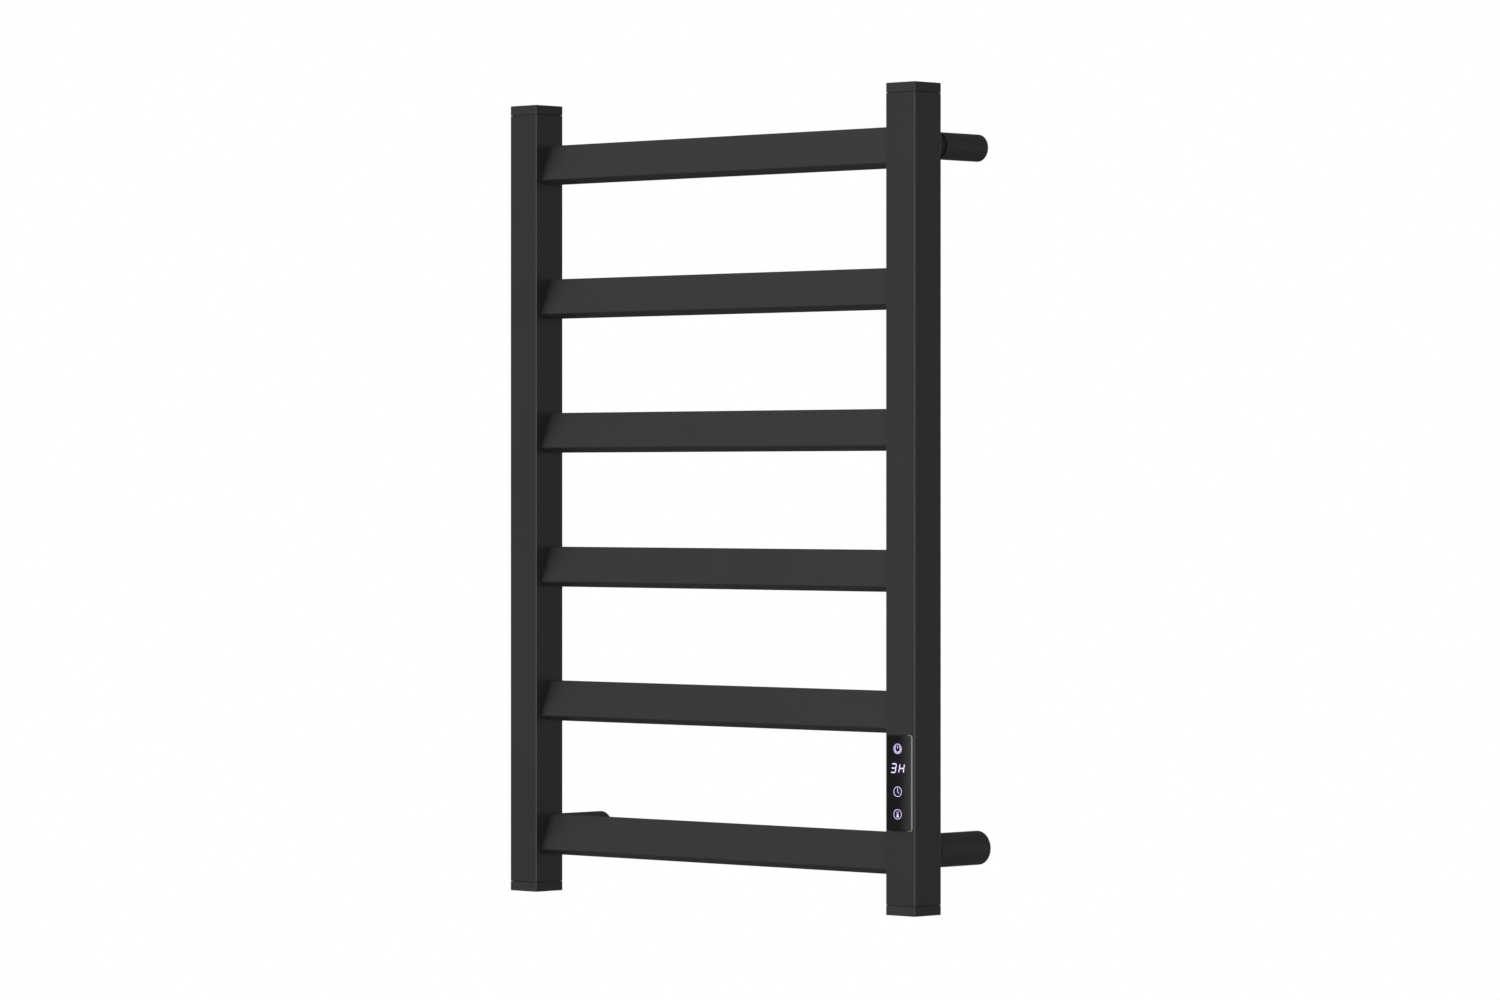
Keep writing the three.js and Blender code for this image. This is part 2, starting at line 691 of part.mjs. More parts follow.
function wire(corners, radius, sides, bend) {
  const path = bentPath(corners.map((corner) => new THREE.Vector3(...corner)), bend);
  const section = new THREE.Shape();
  for (let i = 0; i < sides; i += 1) {
    const angle = (2 * Math.PI * i) / sides;
    const [x, y] = [radius * Math.cos(angle), radius * Math.sin(angle)];
    if (i === 0) {
      section.moveTo(x, y);
    } else {
      section.lineTo(x, y);
    }
  }
  section.closePath();
  const steps = path.stations.length - 1;
  return new THREE.ExtrudeGeometry(section, { steps, extrudePath: path, bevelEnabled: false });
}

// One insulated heating cable runs from the terminal block up the right post, back and forth
// through every rung from the top down, and up to the block again.
function heatingCable() {
  const y = POST_FRONT + CABLE.behindPostFront;
  const linkX = INNER_FACE + CABLE_RUN.linkFromInnerFace;
  const riserX = HALF_PITCH + POST.width / 2 - CABLE_RUN.riserFromOuterFace;
  const blockTop = POST_BOTTOM + TERMINAL.low + TERMINAL.height + GAP;
  const blockBottom = POST_BOTTOM + TERMINAL.low - GAP;
  const corners = [[riserX, y, blockTop]];
  let side = 1;
  for (let number = 1; number <= RUNG.count; number += 1) {
    const z = POST_BOTTOM + rungBase(number) + CABLE.height;
    corners.push([number === 1 ? riserX : side * linkX, y, z], [-side * linkX, y, z]);
    side = -side;
  }
  corners.push([linkX, y, blockBottom]);
  return wire(corners, CABLE.radius, CABLE.sides, CABLE.bend);
}

function terminalBlock() {
  const body = block(TERMINAL.width, TERMINAL.depth, TERMINAL.height);
  const pitch = TERMINAL.width / TERMINAL.poles;
  const holes = [];
  for (let i = 0; i < TERMINAL.poles; i += 1) {
    const x = (i - (TERMINAL.poles - 1) / 2) * pitch;
    holes.push(barY(TERMINAL.pole, -TERMINAL.depth, TERMINAL.poleDepth - TERMINAL.depth / 2,
      BOARD_SCREW.segments, x, TERMINAL.height / 2));
  }
  return shaped(body, { cut: holes });
}

// A bimetal disc switch: a shallow cap on a wider body, against the post's rear wall.
function thermalCutout() {
  const rear = POST_REAR - POST.wall - GAP;
  return turned([
    [0, rear - CUTOUT.bodyDepth - CUTOUT.capDepth],
    [CUTOUT.capRadius, rear - CUTOUT.bodyDepth - CUTOUT.capDepth],
    [CUTOUT.capRadius, rear - CUTOUT.bodyDepth],
    [CUTOUT.bodyRadius, rear - CUTOUT.bodyDepth],
    [CUTOUT.bodyRadius, rear],
    [0, rear],
  ], STANDOFF.segments / 2);
}

function earthScrew() {
  const inside = POST_REAR - POST.wall - GAP;
  return turned([
    [0, inside - EARTH_SCREW.headHeight],
    [EARTH_SCREW.head, inside - EARTH_SCREW.headHeight],
    [EARTH_SCREW.head, inside],
    [EARTH_SCREW.shank, inside],
    [EARTH_SCREW.shank, POST_REAR - GAP],
    [0, POST_REAR - GAP],
  ], EARTH_SCREW.segments);
}

function addHeating(rack) {
  const sensorX = HALF_PITCH - LEAD.side;
  const boardLeadX = HALF_PITCH + LEAD.side;
  const sensorY = POST_FRONT + SENSOR.depth;
  const sensorZ = POST_BOTTOM + SENSOR.low;
  const terminalY = POST_FRONT + CABLE.behindPostFront;
  const terminalZ = POST_BOTTOM + TERMINAL.low;
  const trayTop = POST_BOTTOM + PANEL.low + PANEL.height / 2 + BOARD.height / 2;
  const boardY = POST_FRONT + BOARD.powerDepth + BOARD.thickness + LEAD.radius + GAP;
  const sensor = barZ(SENSOR.radius, 0, SENSOR.length, BOARD_SCREW.segments);
  rack.add(
    piece('heating_cable', 'silicone', heatingCable()),
    piece('terminal_block', 'terminalPlastic', terminalBlock(), HALF_PITCH, terminalY, terminalZ),
    piece('thermal_cutout', 'aluminium', thermalCutout(), HALF_PITCH, 0,
      POST_BOTTOM + CUTOUT.height),
    piece('earth_screw', 'zincSteel', earthScrew(), HALF_PITCH, 0,
      POST_BOTTOM + EARTH_SCREW.height),
    piece('temperature_sensor', 'rubber', sensor, sensorX, sensorY, sensorZ),
    piece('sensor_lead', 'leadInsulation', wire([
      [sensorX, sensorY, sensorZ - GAP],
      [sensorX, sensorY, terminalZ + TERMINAL.height],
      [sensorX, boardY, terminalZ - 2 * LEAD.radius],
      [sensorX, boardY, trayTop - CABLE.bend],
    ], LEAD.radius, LEAD.sides, LEAD.radius * 2)),
    piece('board_lead', 'leadInsulation', wire([
      [boardLeadX, terminalY, terminalZ - GAP],
      [boardLeadX, terminalY, terminalZ - LEAD.dip],
      [boardLeadX, boardY, terminalZ - LEAD.dip - LEAD.radius],
      [boardLeadX, boardY, trayTop - CABLE.bend],
    ], LEAD.radius, LEAD.sides, LEAD.radius)),
  );
}

// ---------------------------------------------------------------- the whole rack

const rack = new THREE.Group();
addPosts(rack);
addRungs(rack);
addStandoffs(rack);
addPanel(rack);
addHeating(rack);

export default rack;
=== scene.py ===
"""The looks of a wall-hung electric towel warmer rack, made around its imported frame.

Lengths are metres in the frame's own axes: +X right, +Y towards the wall, +Z up.
"""

import math

import bmesh
import bpy
from bpy.props import FloatProperty, FloatVectorProperty, PointerProperty
from mathutils import Matrix, Vector


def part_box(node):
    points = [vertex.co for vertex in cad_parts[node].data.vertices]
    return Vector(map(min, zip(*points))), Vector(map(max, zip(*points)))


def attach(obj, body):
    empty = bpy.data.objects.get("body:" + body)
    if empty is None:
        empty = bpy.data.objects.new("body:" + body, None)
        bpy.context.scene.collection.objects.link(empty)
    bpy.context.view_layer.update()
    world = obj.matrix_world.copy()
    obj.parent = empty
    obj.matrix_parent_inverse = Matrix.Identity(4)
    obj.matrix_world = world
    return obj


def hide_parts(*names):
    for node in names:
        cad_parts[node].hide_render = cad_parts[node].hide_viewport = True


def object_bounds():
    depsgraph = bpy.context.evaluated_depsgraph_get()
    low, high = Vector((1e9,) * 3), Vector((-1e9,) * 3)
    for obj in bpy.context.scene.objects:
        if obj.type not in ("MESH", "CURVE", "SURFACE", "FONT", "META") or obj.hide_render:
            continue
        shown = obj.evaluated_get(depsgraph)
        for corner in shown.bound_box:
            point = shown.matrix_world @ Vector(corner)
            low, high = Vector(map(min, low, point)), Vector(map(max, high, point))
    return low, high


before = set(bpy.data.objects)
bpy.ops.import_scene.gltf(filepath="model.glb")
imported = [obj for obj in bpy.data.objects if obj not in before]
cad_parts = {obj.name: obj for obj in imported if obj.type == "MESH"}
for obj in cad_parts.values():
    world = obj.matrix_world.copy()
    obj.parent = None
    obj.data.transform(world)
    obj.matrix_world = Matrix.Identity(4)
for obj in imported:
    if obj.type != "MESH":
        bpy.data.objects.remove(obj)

bl_info = {
    "name": "Towel warmer rack",
    "version": (1, 0, 0),
    "blender": (4, 5, 0),
    "location": "View3D > Sidebar > Towel rack",
    "description": "Builds the visible pieces, finishes and stage of a towel warmer rack",
    "category": "Object",
}

CAD_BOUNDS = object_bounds()
MM = 0.001

SIDES = ("left", "right")
LEVELS = ("top", "bottom")
STANDS = [(level, side) for level in LEVELS for side in SIDES]
RUNGS = [f"rung_{number}" for number in range(1, 7)]

ARC_STEPS = 6
ROUND_STEPS = 96
SMALL_ROUND_STEPS = 32
SHARP_ANGLE = math.radians(30)
CORNER_TURN = math.radians(10)
WELD = 0.001 * MM
OVERSHOOT = 1 * MM

POST_LOW, POST_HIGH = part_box("right_post")
PANEL_LOW, PANEL_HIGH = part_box("panel_housing")
PANEL_MIDDLE = (PANEL_LOW + PANEL_HIGH) / 2
GLASS_LOW, GLASS_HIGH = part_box("touch_glass")


# ------------------------------------------------------------------ what a user may change


def length(label, about, default_mm, smallest_mm=0.01):
    """A size property, given in millimetres and kept in metres."""
    return FloatProperty(
        name=label, description=about, default=default_mm * MM, min=smallest_mm * MM,
        subtype="DISTANCE", unit="LENGTH", precision=5)


def turn(label, about, degrees):
    """An angle property, given in degrees."""
    return FloatProperty(
        name=label, description=about, default=math.radians(degrees), subtype="ANGLE",
        unit="ROTATION")


def share(label, about, default, largest=1.0):
    """A plain number property."""
    return FloatProperty(name=label, description=about, default=default, min=0, max=largest)


def colour(label, about, default):
    """A linear colour property."""
    return FloatVectorProperty(
        name=label, description=about, default=default, subtype="COLOR", size=3, min=0, max=1)


class RackSizes(bpy.types.PropertyGroup):
    """Sizes of the visible pieces."""

    post_corner: length("Post corner", "Radius along a post's four edges", 0.9)
    post_wall: length("Post wall", "Wall thickness of the posts", 2.0)
    face_length: length("Rung face", "Length of a rung's leaning front face", 41.25)
    face_lean: turn("Rung lean", "How far a rung's face leans back from upright", 21.3)
    under_length: length("Rung underside", "Length of a rung's underside", 12.1)
    under_slope: turn("Underside slope", "How steeply a rung's underside drops to the back", 30)
    rung_corner: length("Rung corner", "Radius along a rung's four edges", 1.5)
    rung_wall: length("Rung wall", "Wall thickness of the rungs", 1.4)
    rung_play: length("Rung play", "Gap round a rung in its slot", 0.15)
    cap_edge: length("Cap edge", "Round on a cap's outer edges", 0.9)
    cap_groove: length("Cap groove", "Chamfer where a cap meets its post", 0.35)
    tube_edge: length("Tube edge", "Round on the ends of the sleeves and necks", 0.5)
    glass_edge: length("Glass edge", "Polished bevel round the touch glass", 0.45)
    cable_bend: length("Cable bend", "Bend radius of the heating cable", 8.0)


class RackFinish(bpy.types.PropertyGroup):
    """Colours and surface values."""

    coat_colour: colour("Coat", "Colour of the powder coat", (0.028, 0.028, 0.028))
    coat_roughness: share("Coat roughness", "Roughness of the powder coat", 0.5)
    cap_colour: colour("Cap", "Colour of the end caps", (0.058, 0.058, 0.058))
    cap_roughness: share("Cap roughness", "Roughness of the end caps", 0.45)
    # Painted highlight: the coat is drawn lighter on the rounded corners, by this factor.
    painted_corner_highlight: share("Painted corner highlight", "How much lighter the coat is on sharp corners", 3.6, 10)
    grain_size: length("Grain size", "Width of one pimple of the powder coat", 0.7)
    grain_height: length("Grain height", "Height of the powder coat's pimples", 0.012, 0.0)
    glass_colour: colour("Glass", "Colour of the touch glass", (0.0075, 0.0075, 0.0085))
    # Painted reflection: the lighter tone across the glass's right part.
    painted_reflection_colour: colour("Glass reflection", "Colour of the painted reflection along the touch glass's right side",
                          (0.05, 0.05, 0.05))
    frame_colour: colour("Frame", "Colour of the touch panel's frame", (0.03, 0.03, 0.03))
    # Painted highlight: the paler tone given to the frame's right side.
    rim_highlight_colour: colour("Rim highlight", "Colour of the frame's bright right side", (0.45, 0.45, 0.45))
    symbol_colour: colour("Symbols", "Colour of the lit symbols", (0.74, 0.65, 0.98))
    digit_colour: colour("Digits", "Colour of the lit digits", (0.56, 0.51, 0.68))
    symbol_light: share("Symbol light", "Brightness of the lit symbols", 1.65, 20)
    halo_light: share("Halo light", "Brightness of the glow round the symbols", 0.03, 20)


class RackStage(bpy.types.PropertyGroup):
    """Camera, lights and floor."""

    azimuth: turn("Azimuth", "Direction of view, turned from straight at the wall", 43.5856)
    lens: FloatProperty(name="Lens", description="Focal length of the camera in millimetres",
                        default=144.178, min=1)
    shift: FloatProperty(name="Shift", description="Upward shift of the camera's view",
                         default=-0.00812)
    place: FloatVectorProperty(name="Camera place", description="Where the camera stands",
                               default=(4.384175, -4.659417, 0.010491), subtype="XYZ",
                               unit="LENGTH", precision=4)
    fill: share("Fill", "Brightness of the light from all round", 0.142, 10)
    key: share("Key", "Strength of the high light from the front left", 0.36, 10)
    front: share("Front", "Strength of the level light from straight in front", 1.18, 10)
    beside: share("Beside", "Strength of the narrow light beside the camera", 0.52, 10)
    back: share("Back", "Strength of the level light from behind, on the right", 0.62, 10)
    top: share("Top", "Strength of the light from straight above", 0.2, 10)
    floor_tone: colour("Floor tone", "Colour of the floor", (0.43, 0.43, 0.43))
    floor_glow: share("Floor glow", "Light that lifts the floor's own tone", 0.56, 10)
    floor_drop: length("Floor drop", "Distance from the rack's feet to the floor", 220)
    floor_radius: length("Floor radius", "Radius of the floor", 1300)


# ------------------------------------------------------------------ outlines and measures


def middle(node):
    """The middle of a node's box."""
    low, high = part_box(node)
    return (low + high) / 2


def measure(node):
    """A node's low and high corners, its middle, and half its width."""
    low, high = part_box(node)
    return low, high, middle(node), (high.x - low.x) / 2


def turns(steps):
    """Equal angles round a full turn."""
    return [math.tau * step / steps for step in range(steps)]


def filleted(corners, radius):
    """A closed outline with an arc at each corner. radius is one value or one for each corner."""
    points = []
    for i, corner in enumerate(corners):
        size = radius[i] if isinstance(radius, list) else radius
        if size <= 0:
            points.append(corner.copy())
            continue
        back = (corners[i - 1] - corner).normalized()
        ahead = (corners[(i + 1) % len(corners)] - corner).normalized()
        half = back.angle(ahead) / 2
        centre = corner + (back + ahead).normalized() * (size / math.sin(half))
        spoke = corner + back * (size / math.tan(half)) - centre
        sweep = -spoke.angle_signed(corner + ahead * (size / math.tan(half)) - centre)
        points += [centre + Matrix.Rotation(sweep * step / ARC_STEPS, 2) @ spoke
                   for step in range(ARC_STEPS + 1)]
    return points


def offset(corners, distance):
    """A convex outline's corners moved outwards. Corners run anticlockwise."""
    moved = []
    for i, corner in enumerate(corners):
        arriving = (corner - corners[i - 1]).normalized()
        leaving = (corners[(i + 1) % len(corners)] - corner).normalized()
        normals = Vector((arriving.y, -arriving.x)), Vector((leaving.y, -leaving.x))
        moved.append(corner + (normals[0] + normals[1]) * distance / (1 + normals[0] @ normals[1]))
    return moved


def rounded_rectangle(width, height, radius):
    """A rectangle round nothing with rounded corners, anticlockwise."""
    x, y = width / 2, height / 2
    corners = [Vector((-x, -y)), Vector((x, -y)), Vector((x, y)), Vector((-x, y))]
    return filleted(corners, radius)


def square_loop(centre, half, radius, z):
    """A rounded square in a level plane."""
    return [Vector((centre.x + point.x, centre.y + point.y, z))
            for point in rounded_rectangle(2 * half, 2 * half, radius)]


def upright_loop(centre, width, height, radius, y):
    """A rounded rectangle in a plane that faces the room."""
    return [Vector((centre.x + point.x, y, centre.z + point.y))
            for point in rounded_rectangle(width, height, radius)]


def round_loop(radius, z, steps):
    """A circle in a level plane, round the upright axis."""
    return [Vector((radius * math.cos(angle), radius * math.sin(angle), z))
            for angle in turns(steps)]


# ------------------------------------------------------------------ solids


def loft(bm, loops, closed=False):
    """Joins equal loops of points by quads. An open loft gets a face at each end."""
    rings = [[bm.verts.new(point) for point in loop] for loop in loops]
    pairs = list(zip(rings, rings[1:]))
    if closed:
        pairs.append((rings[-1], rings[0]))
    for first, second in pairs:
        for i in range(len(first)):
            j = (i + 1) % len(first)
            bm.faces.new((first[i], first[j], second[j], second[i]))
    if not closed:
        bm.faces.new(rings[0][::-1])
        bm.faces.new(rings[-1])


def turned(bm, centre, profile, radii):
    """A solid turned about a line along Y. Profile points are (radius, y), anticlockwise."""
    outline = filleted([Vector(point) for point in profile], radii)
    rim = [point for point in outline if point.x >= WELD]
    loft(bm, [[Vector((centre.x + point.x * math.sin(angle), point.y,
                       centre.z + point.x * math.cos(angle))) for angle in turns(ROUND_STEPS)]
              for point in rim], closed=len(rim) == len(outline))


def bar(bm, start, end, radius, steps=SMALL_ROUND_STEPS):
    """A plain round bar between two points."""
    along = (end - start).normalized()
    across = along.orthogonal().normalized()
    other = along.cross(across)
    loft(bm, [[point + (across * math.cos(angle) + other * math.sin(angle)) * radius
               for angle in turns(steps)] for point in (start, end)])


def level_bar(bm, centre, depths, radius, steps=SMALL_ROUND_STEPS):
    """A plain round bar along Y between two depths."""
    start, end = (Vector((centre.x, y, centre.z)) for y in depths)
    bar(bm, start, end, radius, steps)


def block(bm, centre, width, height, radius, depths):
    """A block between two depths, with its edges along Y rounded."""
    loft(bm, [upright_loop(centre, width, height, radius, y) for y in depths])


def plate(bm, outline, depths):
    """An outline in X and Z, made solid between two depths."""
    loft(bm, [[Vector((point.x, y, point.y)) for point in outline] for y in depths])


# ------------------------------------------------------------------ objects


def new_object(name, data):
    """An object at the origin of the scene."""
    made = bpy.data.objects.new(name, data)
    bpy.context.scene.collection.objects.link(made)
    return made


def to_object(name, bm, finish=None):
    """A mesh object from a finished bmesh."""
    bmesh.ops.remove_doubles(bm, verts=bm.verts, dist=WELD)
    bmesh.ops.recalc_face_normals(bm, faces=bm.faces)
    mesh = bpy.data.meshes.new(name)
    bm.to_mesh(mesh)
    bm.free()
    if finish:
        mesh.materials.append(material(finish))
    return new_object(name, mesh)


def settle(piece):
    """Applies the piece's modifiers and leaves a plain mesh."""
    graph = bpy.context.evaluated_depsgraph_get()
    mesh = bpy.data.meshes.new_from_object(
        piece.evaluated_get(graph), preserve_all_data_layers=True, depsgraph=graph)
    piece.modifiers.clear()
    piece.data = mesh
    return piece


def boolean(piece, bm, operation="DIFFERENCE"):
    """Cuts a shape from the piece, or joins it on."""
    tool = to_object("tool", bm)
    modifier = piece.modifiers.new(operation.title(), "BOOLEAN")
    modifier.operation = operation
    modifier.solver = "EXACT"
    modifier.object = tool
    settle(piece)
    bpy.data.objects.remove(tool)
    return piece


def smooth(piece):
    """Smooth faces, edges sharper than the limit kept sharp, normals weighted by face area."""
    bm = bmesh.new()
    bm.from_mesh(piece.data)
    for face in bm.faces:
        face.smooth = True
    for edge in bm.edges:
        edge.smooth = len(edge.link_faces) == 2 and edge.calc_face_angle() < SHARP_ANGLE
    bm.to_mesh(piece.data)
    bm.free()
    weighted = piece.modifiers.new("Normals", "WEIGHTED_NORMAL")
    weighted.keep_sharp = True
    return settle(piece)


def finish_piece(piece, body, slot, *nodes):
    """Smooths the piece, hangs it on its body's empty and hides the nodes it stands for. The slot
    it is given is not used.
    """
    smooth(piece)
    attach(piece, body)
    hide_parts(*nodes)


def mark_corners(piece):
    """Marks the faces that round the upright corners of a square tube."""
    mark = piece.data.attributes.new("corner", "FLOAT", "FACE")
    for face in piece.data.polygons:
        turned_both_ways = min(abs(face.normal.x), abs(face.normal.y)) > math.sin(CORNER_TURN)
        mark.data[face.index].value = float(turned_both_ways)


# ------------------------------------------------------------------ node trees


def fill(tree, node, inputs):
    """Links or sets a node's inputs by name or number."""
    for name, value in inputs.items():
        if isinstance(value, bpy.types.NodeSocket):
            tree.links.new(value, node.inputs[name])
        else:
            node.inputs[name].default_value = value
    return node


def add(tree, kind, inputs=None, **properties):
    """Adds a node, sets its properties and fills its inputs."""
    node = tree.nodes.new(kind)
    for name, value in properties.items():
        setattr(node, name, value)
    return fill(tree, node, inputs or {})


def new_group(name, kind, inputs, outputs):
    """A node group with named sockets, the sockets it is given, and its end node."""
    tree = bpy.data.node_groups.new(name, kind)
    for direction, sockets in (("INPUT", inputs), ("OUTPUT", outputs)):
        for label, value in sockets.items():
            tree.interface.new_socket(label, in_out=direction, socket_type=f"NodeSocket{value}")
    given = tree.nodes.new("NodeGroupInput").outputs
    return tree, given, tree.nodes.new("NodeGroupOutput")


def geometry_group(name, **sizes):
    """A geometry tree with the given inputs between its geometry and its material."""
    inputs = {"Geometry": "Geometry", **sizes, "Material": "Material"}
    return new_group(name, "GeometryNodeTree", inputs, {"Geometry": "Geometry"})


def end_geometry(tree, given, end, geometry):
    """Ends a geometry tree in real, painted geometry."""
    real = add(tree, "GeometryNodeRealizeInstances", {"Geometry": geometry})
    painted = add(tree, "GeometryNodeSetMaterial", {
        "Geometry": real.outputs[0], "Material": given["Material"]})
    fill(tree, end, {"Geometry": painted.outputs[0]})
    return tree


def grow(name, points, edges, faces, tree, **values):
    """A piece grown by a geometry tree from a few points, with the tree's named inputs."""
    mesh = bpy.data.meshes.new(name)
    mesh.from_pydata(points, edges, faces)
    piece = new_object(name, mesh)
    modifier = piece.modifiers.new(tree.name, "NODES")
    modifier.node_group = tree
    for item in tree.interface.items_tree:
        if item.in_out == "INPUT" and item.name.lower() in values:
            modifier[item.identifier] = values[item.name.lower()]
    settle(piece)
    piece.data.materials.clear()
    piece.data.materials.append(values["material"])
    piece.data.polygons.foreach_set("material_index", [0] * len(piece.data.polygons))
    return piece


def ladder_tree():
    """Extrudes a flat section along X and repeats it upwards."""
    tree, given, end = geometry_group("Ladder", Length="Float", Pitch="Float", Count="Int")
    section = given["Geometry"]
    reach = add(tree, "ShaderNodeCombineXYZ", {"X": given["Length"]})
    walls = add(tree, "GeometryNodeExtrudeMesh", {
        "Mesh": section, "Offset": reach.outputs[0], "Offset Scale": 1.0, "Individual": False})
    foot = add(tree, "GeometryNodeFlipFaces", {"Mesh": section})
    solid = add(tree, "GeometryNodeJoinGeometry")
    for part in (walls, foot):
        tree.links.new(part.outputs["Mesh"], solid.inputs[0])
    welded = add(tree, "GeometryNodeMergeByDistance", {
        "Geometry": solid.outputs[0], "Distance": WELD})
    rise = add(tree, "ShaderNodeCombineXYZ", {"Z": given["Pitch"]})
    places = add(tree, "GeometryNodeMeshLine", {
        "Count": given["Count"], "Offset": rise.outputs[0]}, mode="OFFSET")
    rungs = add(tree, "GeometryNodeInstanceOnPoints", {
        "Points": places.outputs["Mesh"], "Instance": welded.outputs[0]})
    return end_geometry(tree, given, end, rungs.outputs[0])


def repeat_tree():
    """Sets a copy of one object on every point of a mesh."""
    tree, given, end = geometry_group("Repeat", Template="Object")
    template = add(tree, "GeometryNodeObjectInfo", {"Object": given["Template"]})
    copies = add(tree, "GeometryNodeInstanceOnPoints", {
        "Points": given["Geometry"], "Instance": template.outputs["Geometry"]})
    return end_geometry(tree, given, end, copies.outputs[0])


CABLE_BEND_STEPS = 10
CABLE_SIDES = 24


def cable_tree():
    """Bends a route of straight edges and sweeps a round section along it."""
    tree, given, end = geometry_group("Cable", Radius="Float", Bend="Float")
    route = add(tree, "GeometryNodeMeshToCurve", {"Mesh": given["Geometry"]})
    bent = add(tree, "GeometryNodeFilletCurve", {
        "Curve": route.outputs[0], "Count": CABLE_BEND_STEPS, "Radius": given["Bend"],
        "Limit Radius": True}, mode="POLY")
    section = add(tree, "GeometryNodeCurvePrimitiveCircle", {
        "Resolution": CABLE_SIDES, "Radius": given["Radius"]}, mode="RADIUS")
    tube = add(tree, "GeometryNodeCurveToMesh", {
        "Curve": bent.outputs[0], "Profile Curve": section.outputs[0], "Fill Caps": True})
    return end_geometry(tree, given, end, tube.outputs[0])


# ------------------------------------------------------------------ shader helpers


def object_place(tree):
    """The shaded point in the piece's own coordinates."""
    return add(tree, "ShaderNodeTexCoord").outputs["Object"]


def calculate(tree, operation, *values):
    """The result of a Math node."""
    return add(tree, "ShaderNodeMath", dict(enumerate(values)), operation=operation).outputs[0]


def noise(tree, place, scale, **values):
    """A cloudy value."""
    return add(tree, "ShaderNodeTexNoise", {
        "Vector": place, "Scale": scale, **values}).outputs["Fac"]


def ramp(tree, value, low, high, low_result=0.0, high_result=1.0, kind="LINEAR"):
    """A value brought from one range to another."""
    return add(tree, "ShaderNodeMapRange", {
        "Value": value, "From Min": low, "From Max": high, "To Min": low_result,
        "To Max": high_result}, interpolation_type=kind).outputs[0]


def mix(tree, factor, *tones):
    """A tone between two, each a plain colour or another node's."""
    first, second = (tone if isinstance(tone, bpy.types.NodeSocket) else (*tone, 1.0)
                     for tone in tones)
    return add(tree, "ShaderNodeMix", {"Factor": factor, "A": first, "B": second},
               data_type="RGBA").outputs["Result"]


def scaled(tone, factor):
    """A colour made darker or lighter."""
    return tuple(min(channel * factor, 1.0) for channel in tone)


def new_material(name, base, roughness, values=None):
    """A material with a Principled shader whose plain values are set on its own sockets."""
    made = bpy.data.materials.new(f"{name}_finish")
    made.use_nodes = True
    tree = made.node_tree
    tree.nodes.clear()
    shader = add(tree, "ShaderNodeBsdfPrincipled", {
        "Base Color": (*base, 1.0), "Roughness": roughness, **(values or {})})
    add(tree, "ShaderNodeOutputMaterial", {"Surface": shader.outputs[0]})
    return made, tree, shader


def place_group(tree, maker, **values):
    """A shader group, built once, placed in a material with its own values."""
    group = bpy.data.node_groups.get(maker.__name__) or maker()
    node = add(tree, "ShaderNodeGroup", node_tree=group)
    fill(tree, node, {label.capitalize(): value for label, value in values.items()})
    return node.outputs


COLOUR_RANGE = (0.35, 0.75)
ROUGHNESS_RANGE = (0.35, 0.9)


def vary_colour(tree, shader, factor, tone, darkest, lightest):
    """Base colour that moves between a darker and a lighter tone with a factor."""
    tones = mix(tree, ramp(tree, factor, *COLOUR_RANGE),
                scaled(tone, darkest), scaled(tone, lightest))
    fill(tree, shader, {"Base Color": tones})
    return tones


def vary_roughness(tree, shader, factor, low, high):
    """Roughness that moves between two values with a factor."""
    fill(tree, shader, {"Roughness": ramp(tree, factor, *ROUGHNESS_RANGE, low, high)})


def raise_surface(tree, shader, height, distance, strength=1.0):
    """A bump of the given real height."""
    bump = add(tree, "ShaderNodeBump", {
        "Height": height, "Distance": distance, "Strength": strength})
    fill(tree, shader, {"Normal": bump.outputs["Normal"]})


# ------------------------------------------------------------------ shared effects

GRAIN = {"fineness": 3.3, "specks": 0.3, "roughness": 0.45, "clouds": 9.0, "shade": 0.35}
TOOL_LINES = {"spacing": 0.3 * MM, "stretch": 0.06, "height": 0.01 * MM}


def coat_grain():
    """Fine pimples of a sprayed powder coat and the slow change of its shade."""
    tree, given, end = new_group("coat_grain", "ShaderNodeTree", {"Size": "Float"},
                                 {"Height": "Float", "Shade": "Float"})
    place = object_place(tree)
    density = calculate(tree, "DIVIDE", 1.0, given["Size"])
    finer = calculate(tree, "MULTIPLY", density, GRAIN["fineness"])
    pimples = noise(tree, place, density, Detail=2.0, Roughness=GRAIN["roughness"])
    specks = noise(tree, place, finer, Detail=1.0)
    clouds = noise(tree, place, GRAIN["clouds"], Detail=3.0)
    fill(tree, end, {
        "Height": calculate(tree, "MULTIPLY_ADD", specks, GRAIN["specks"], pimples),
        "Shade": calculate(tree, "MULTIPLY_ADD", specks, GRAIN["shade"], clouds)})
    return tree


def tool_lines():
    """Fine tool lines that run round or along a machined piece."""
    tree, given, end = new_group("tool_lines", "ShaderNodeTree", {"Spacing": "Float"},
                                 {"Height": "Float"})
    density = calculate(tree, "DIVIDE", 1.0, given["Spacing"])
    stretch = add(tree, "ShaderNodeMapping", {
        "Vector": object_place(tree), "Scale": (TOOL_LINES["stretch"], 1, TOOL_LINES["stretch"])})
    fill(tree, end, {"Height": noise(tree, stretch.outputs[0], density, Detail=3.0)})
    return tree


def symbol_halo():
    """Faint light that spreads in the glass round one symbol."""
    tree, given, end = new_group("symbol_halo", "ShaderNodeTree",
                                 {"Centre": "Vector", "Reach": "Float"}, {"Mask": "Float"})
    gap = add(tree, "ShaderNodeVectorMath", {
        0: object_place(tree), 1: given["Centre"]}, operation="DISTANCE")
    near = ramp(tree, gap.outputs["Value"], given["Reach"], 0.0, kind="SMOOTHERSTEP")
    fill(tree, end, {"Mask": near})
    return tree


# ------------------------------------------------------------------ finishes


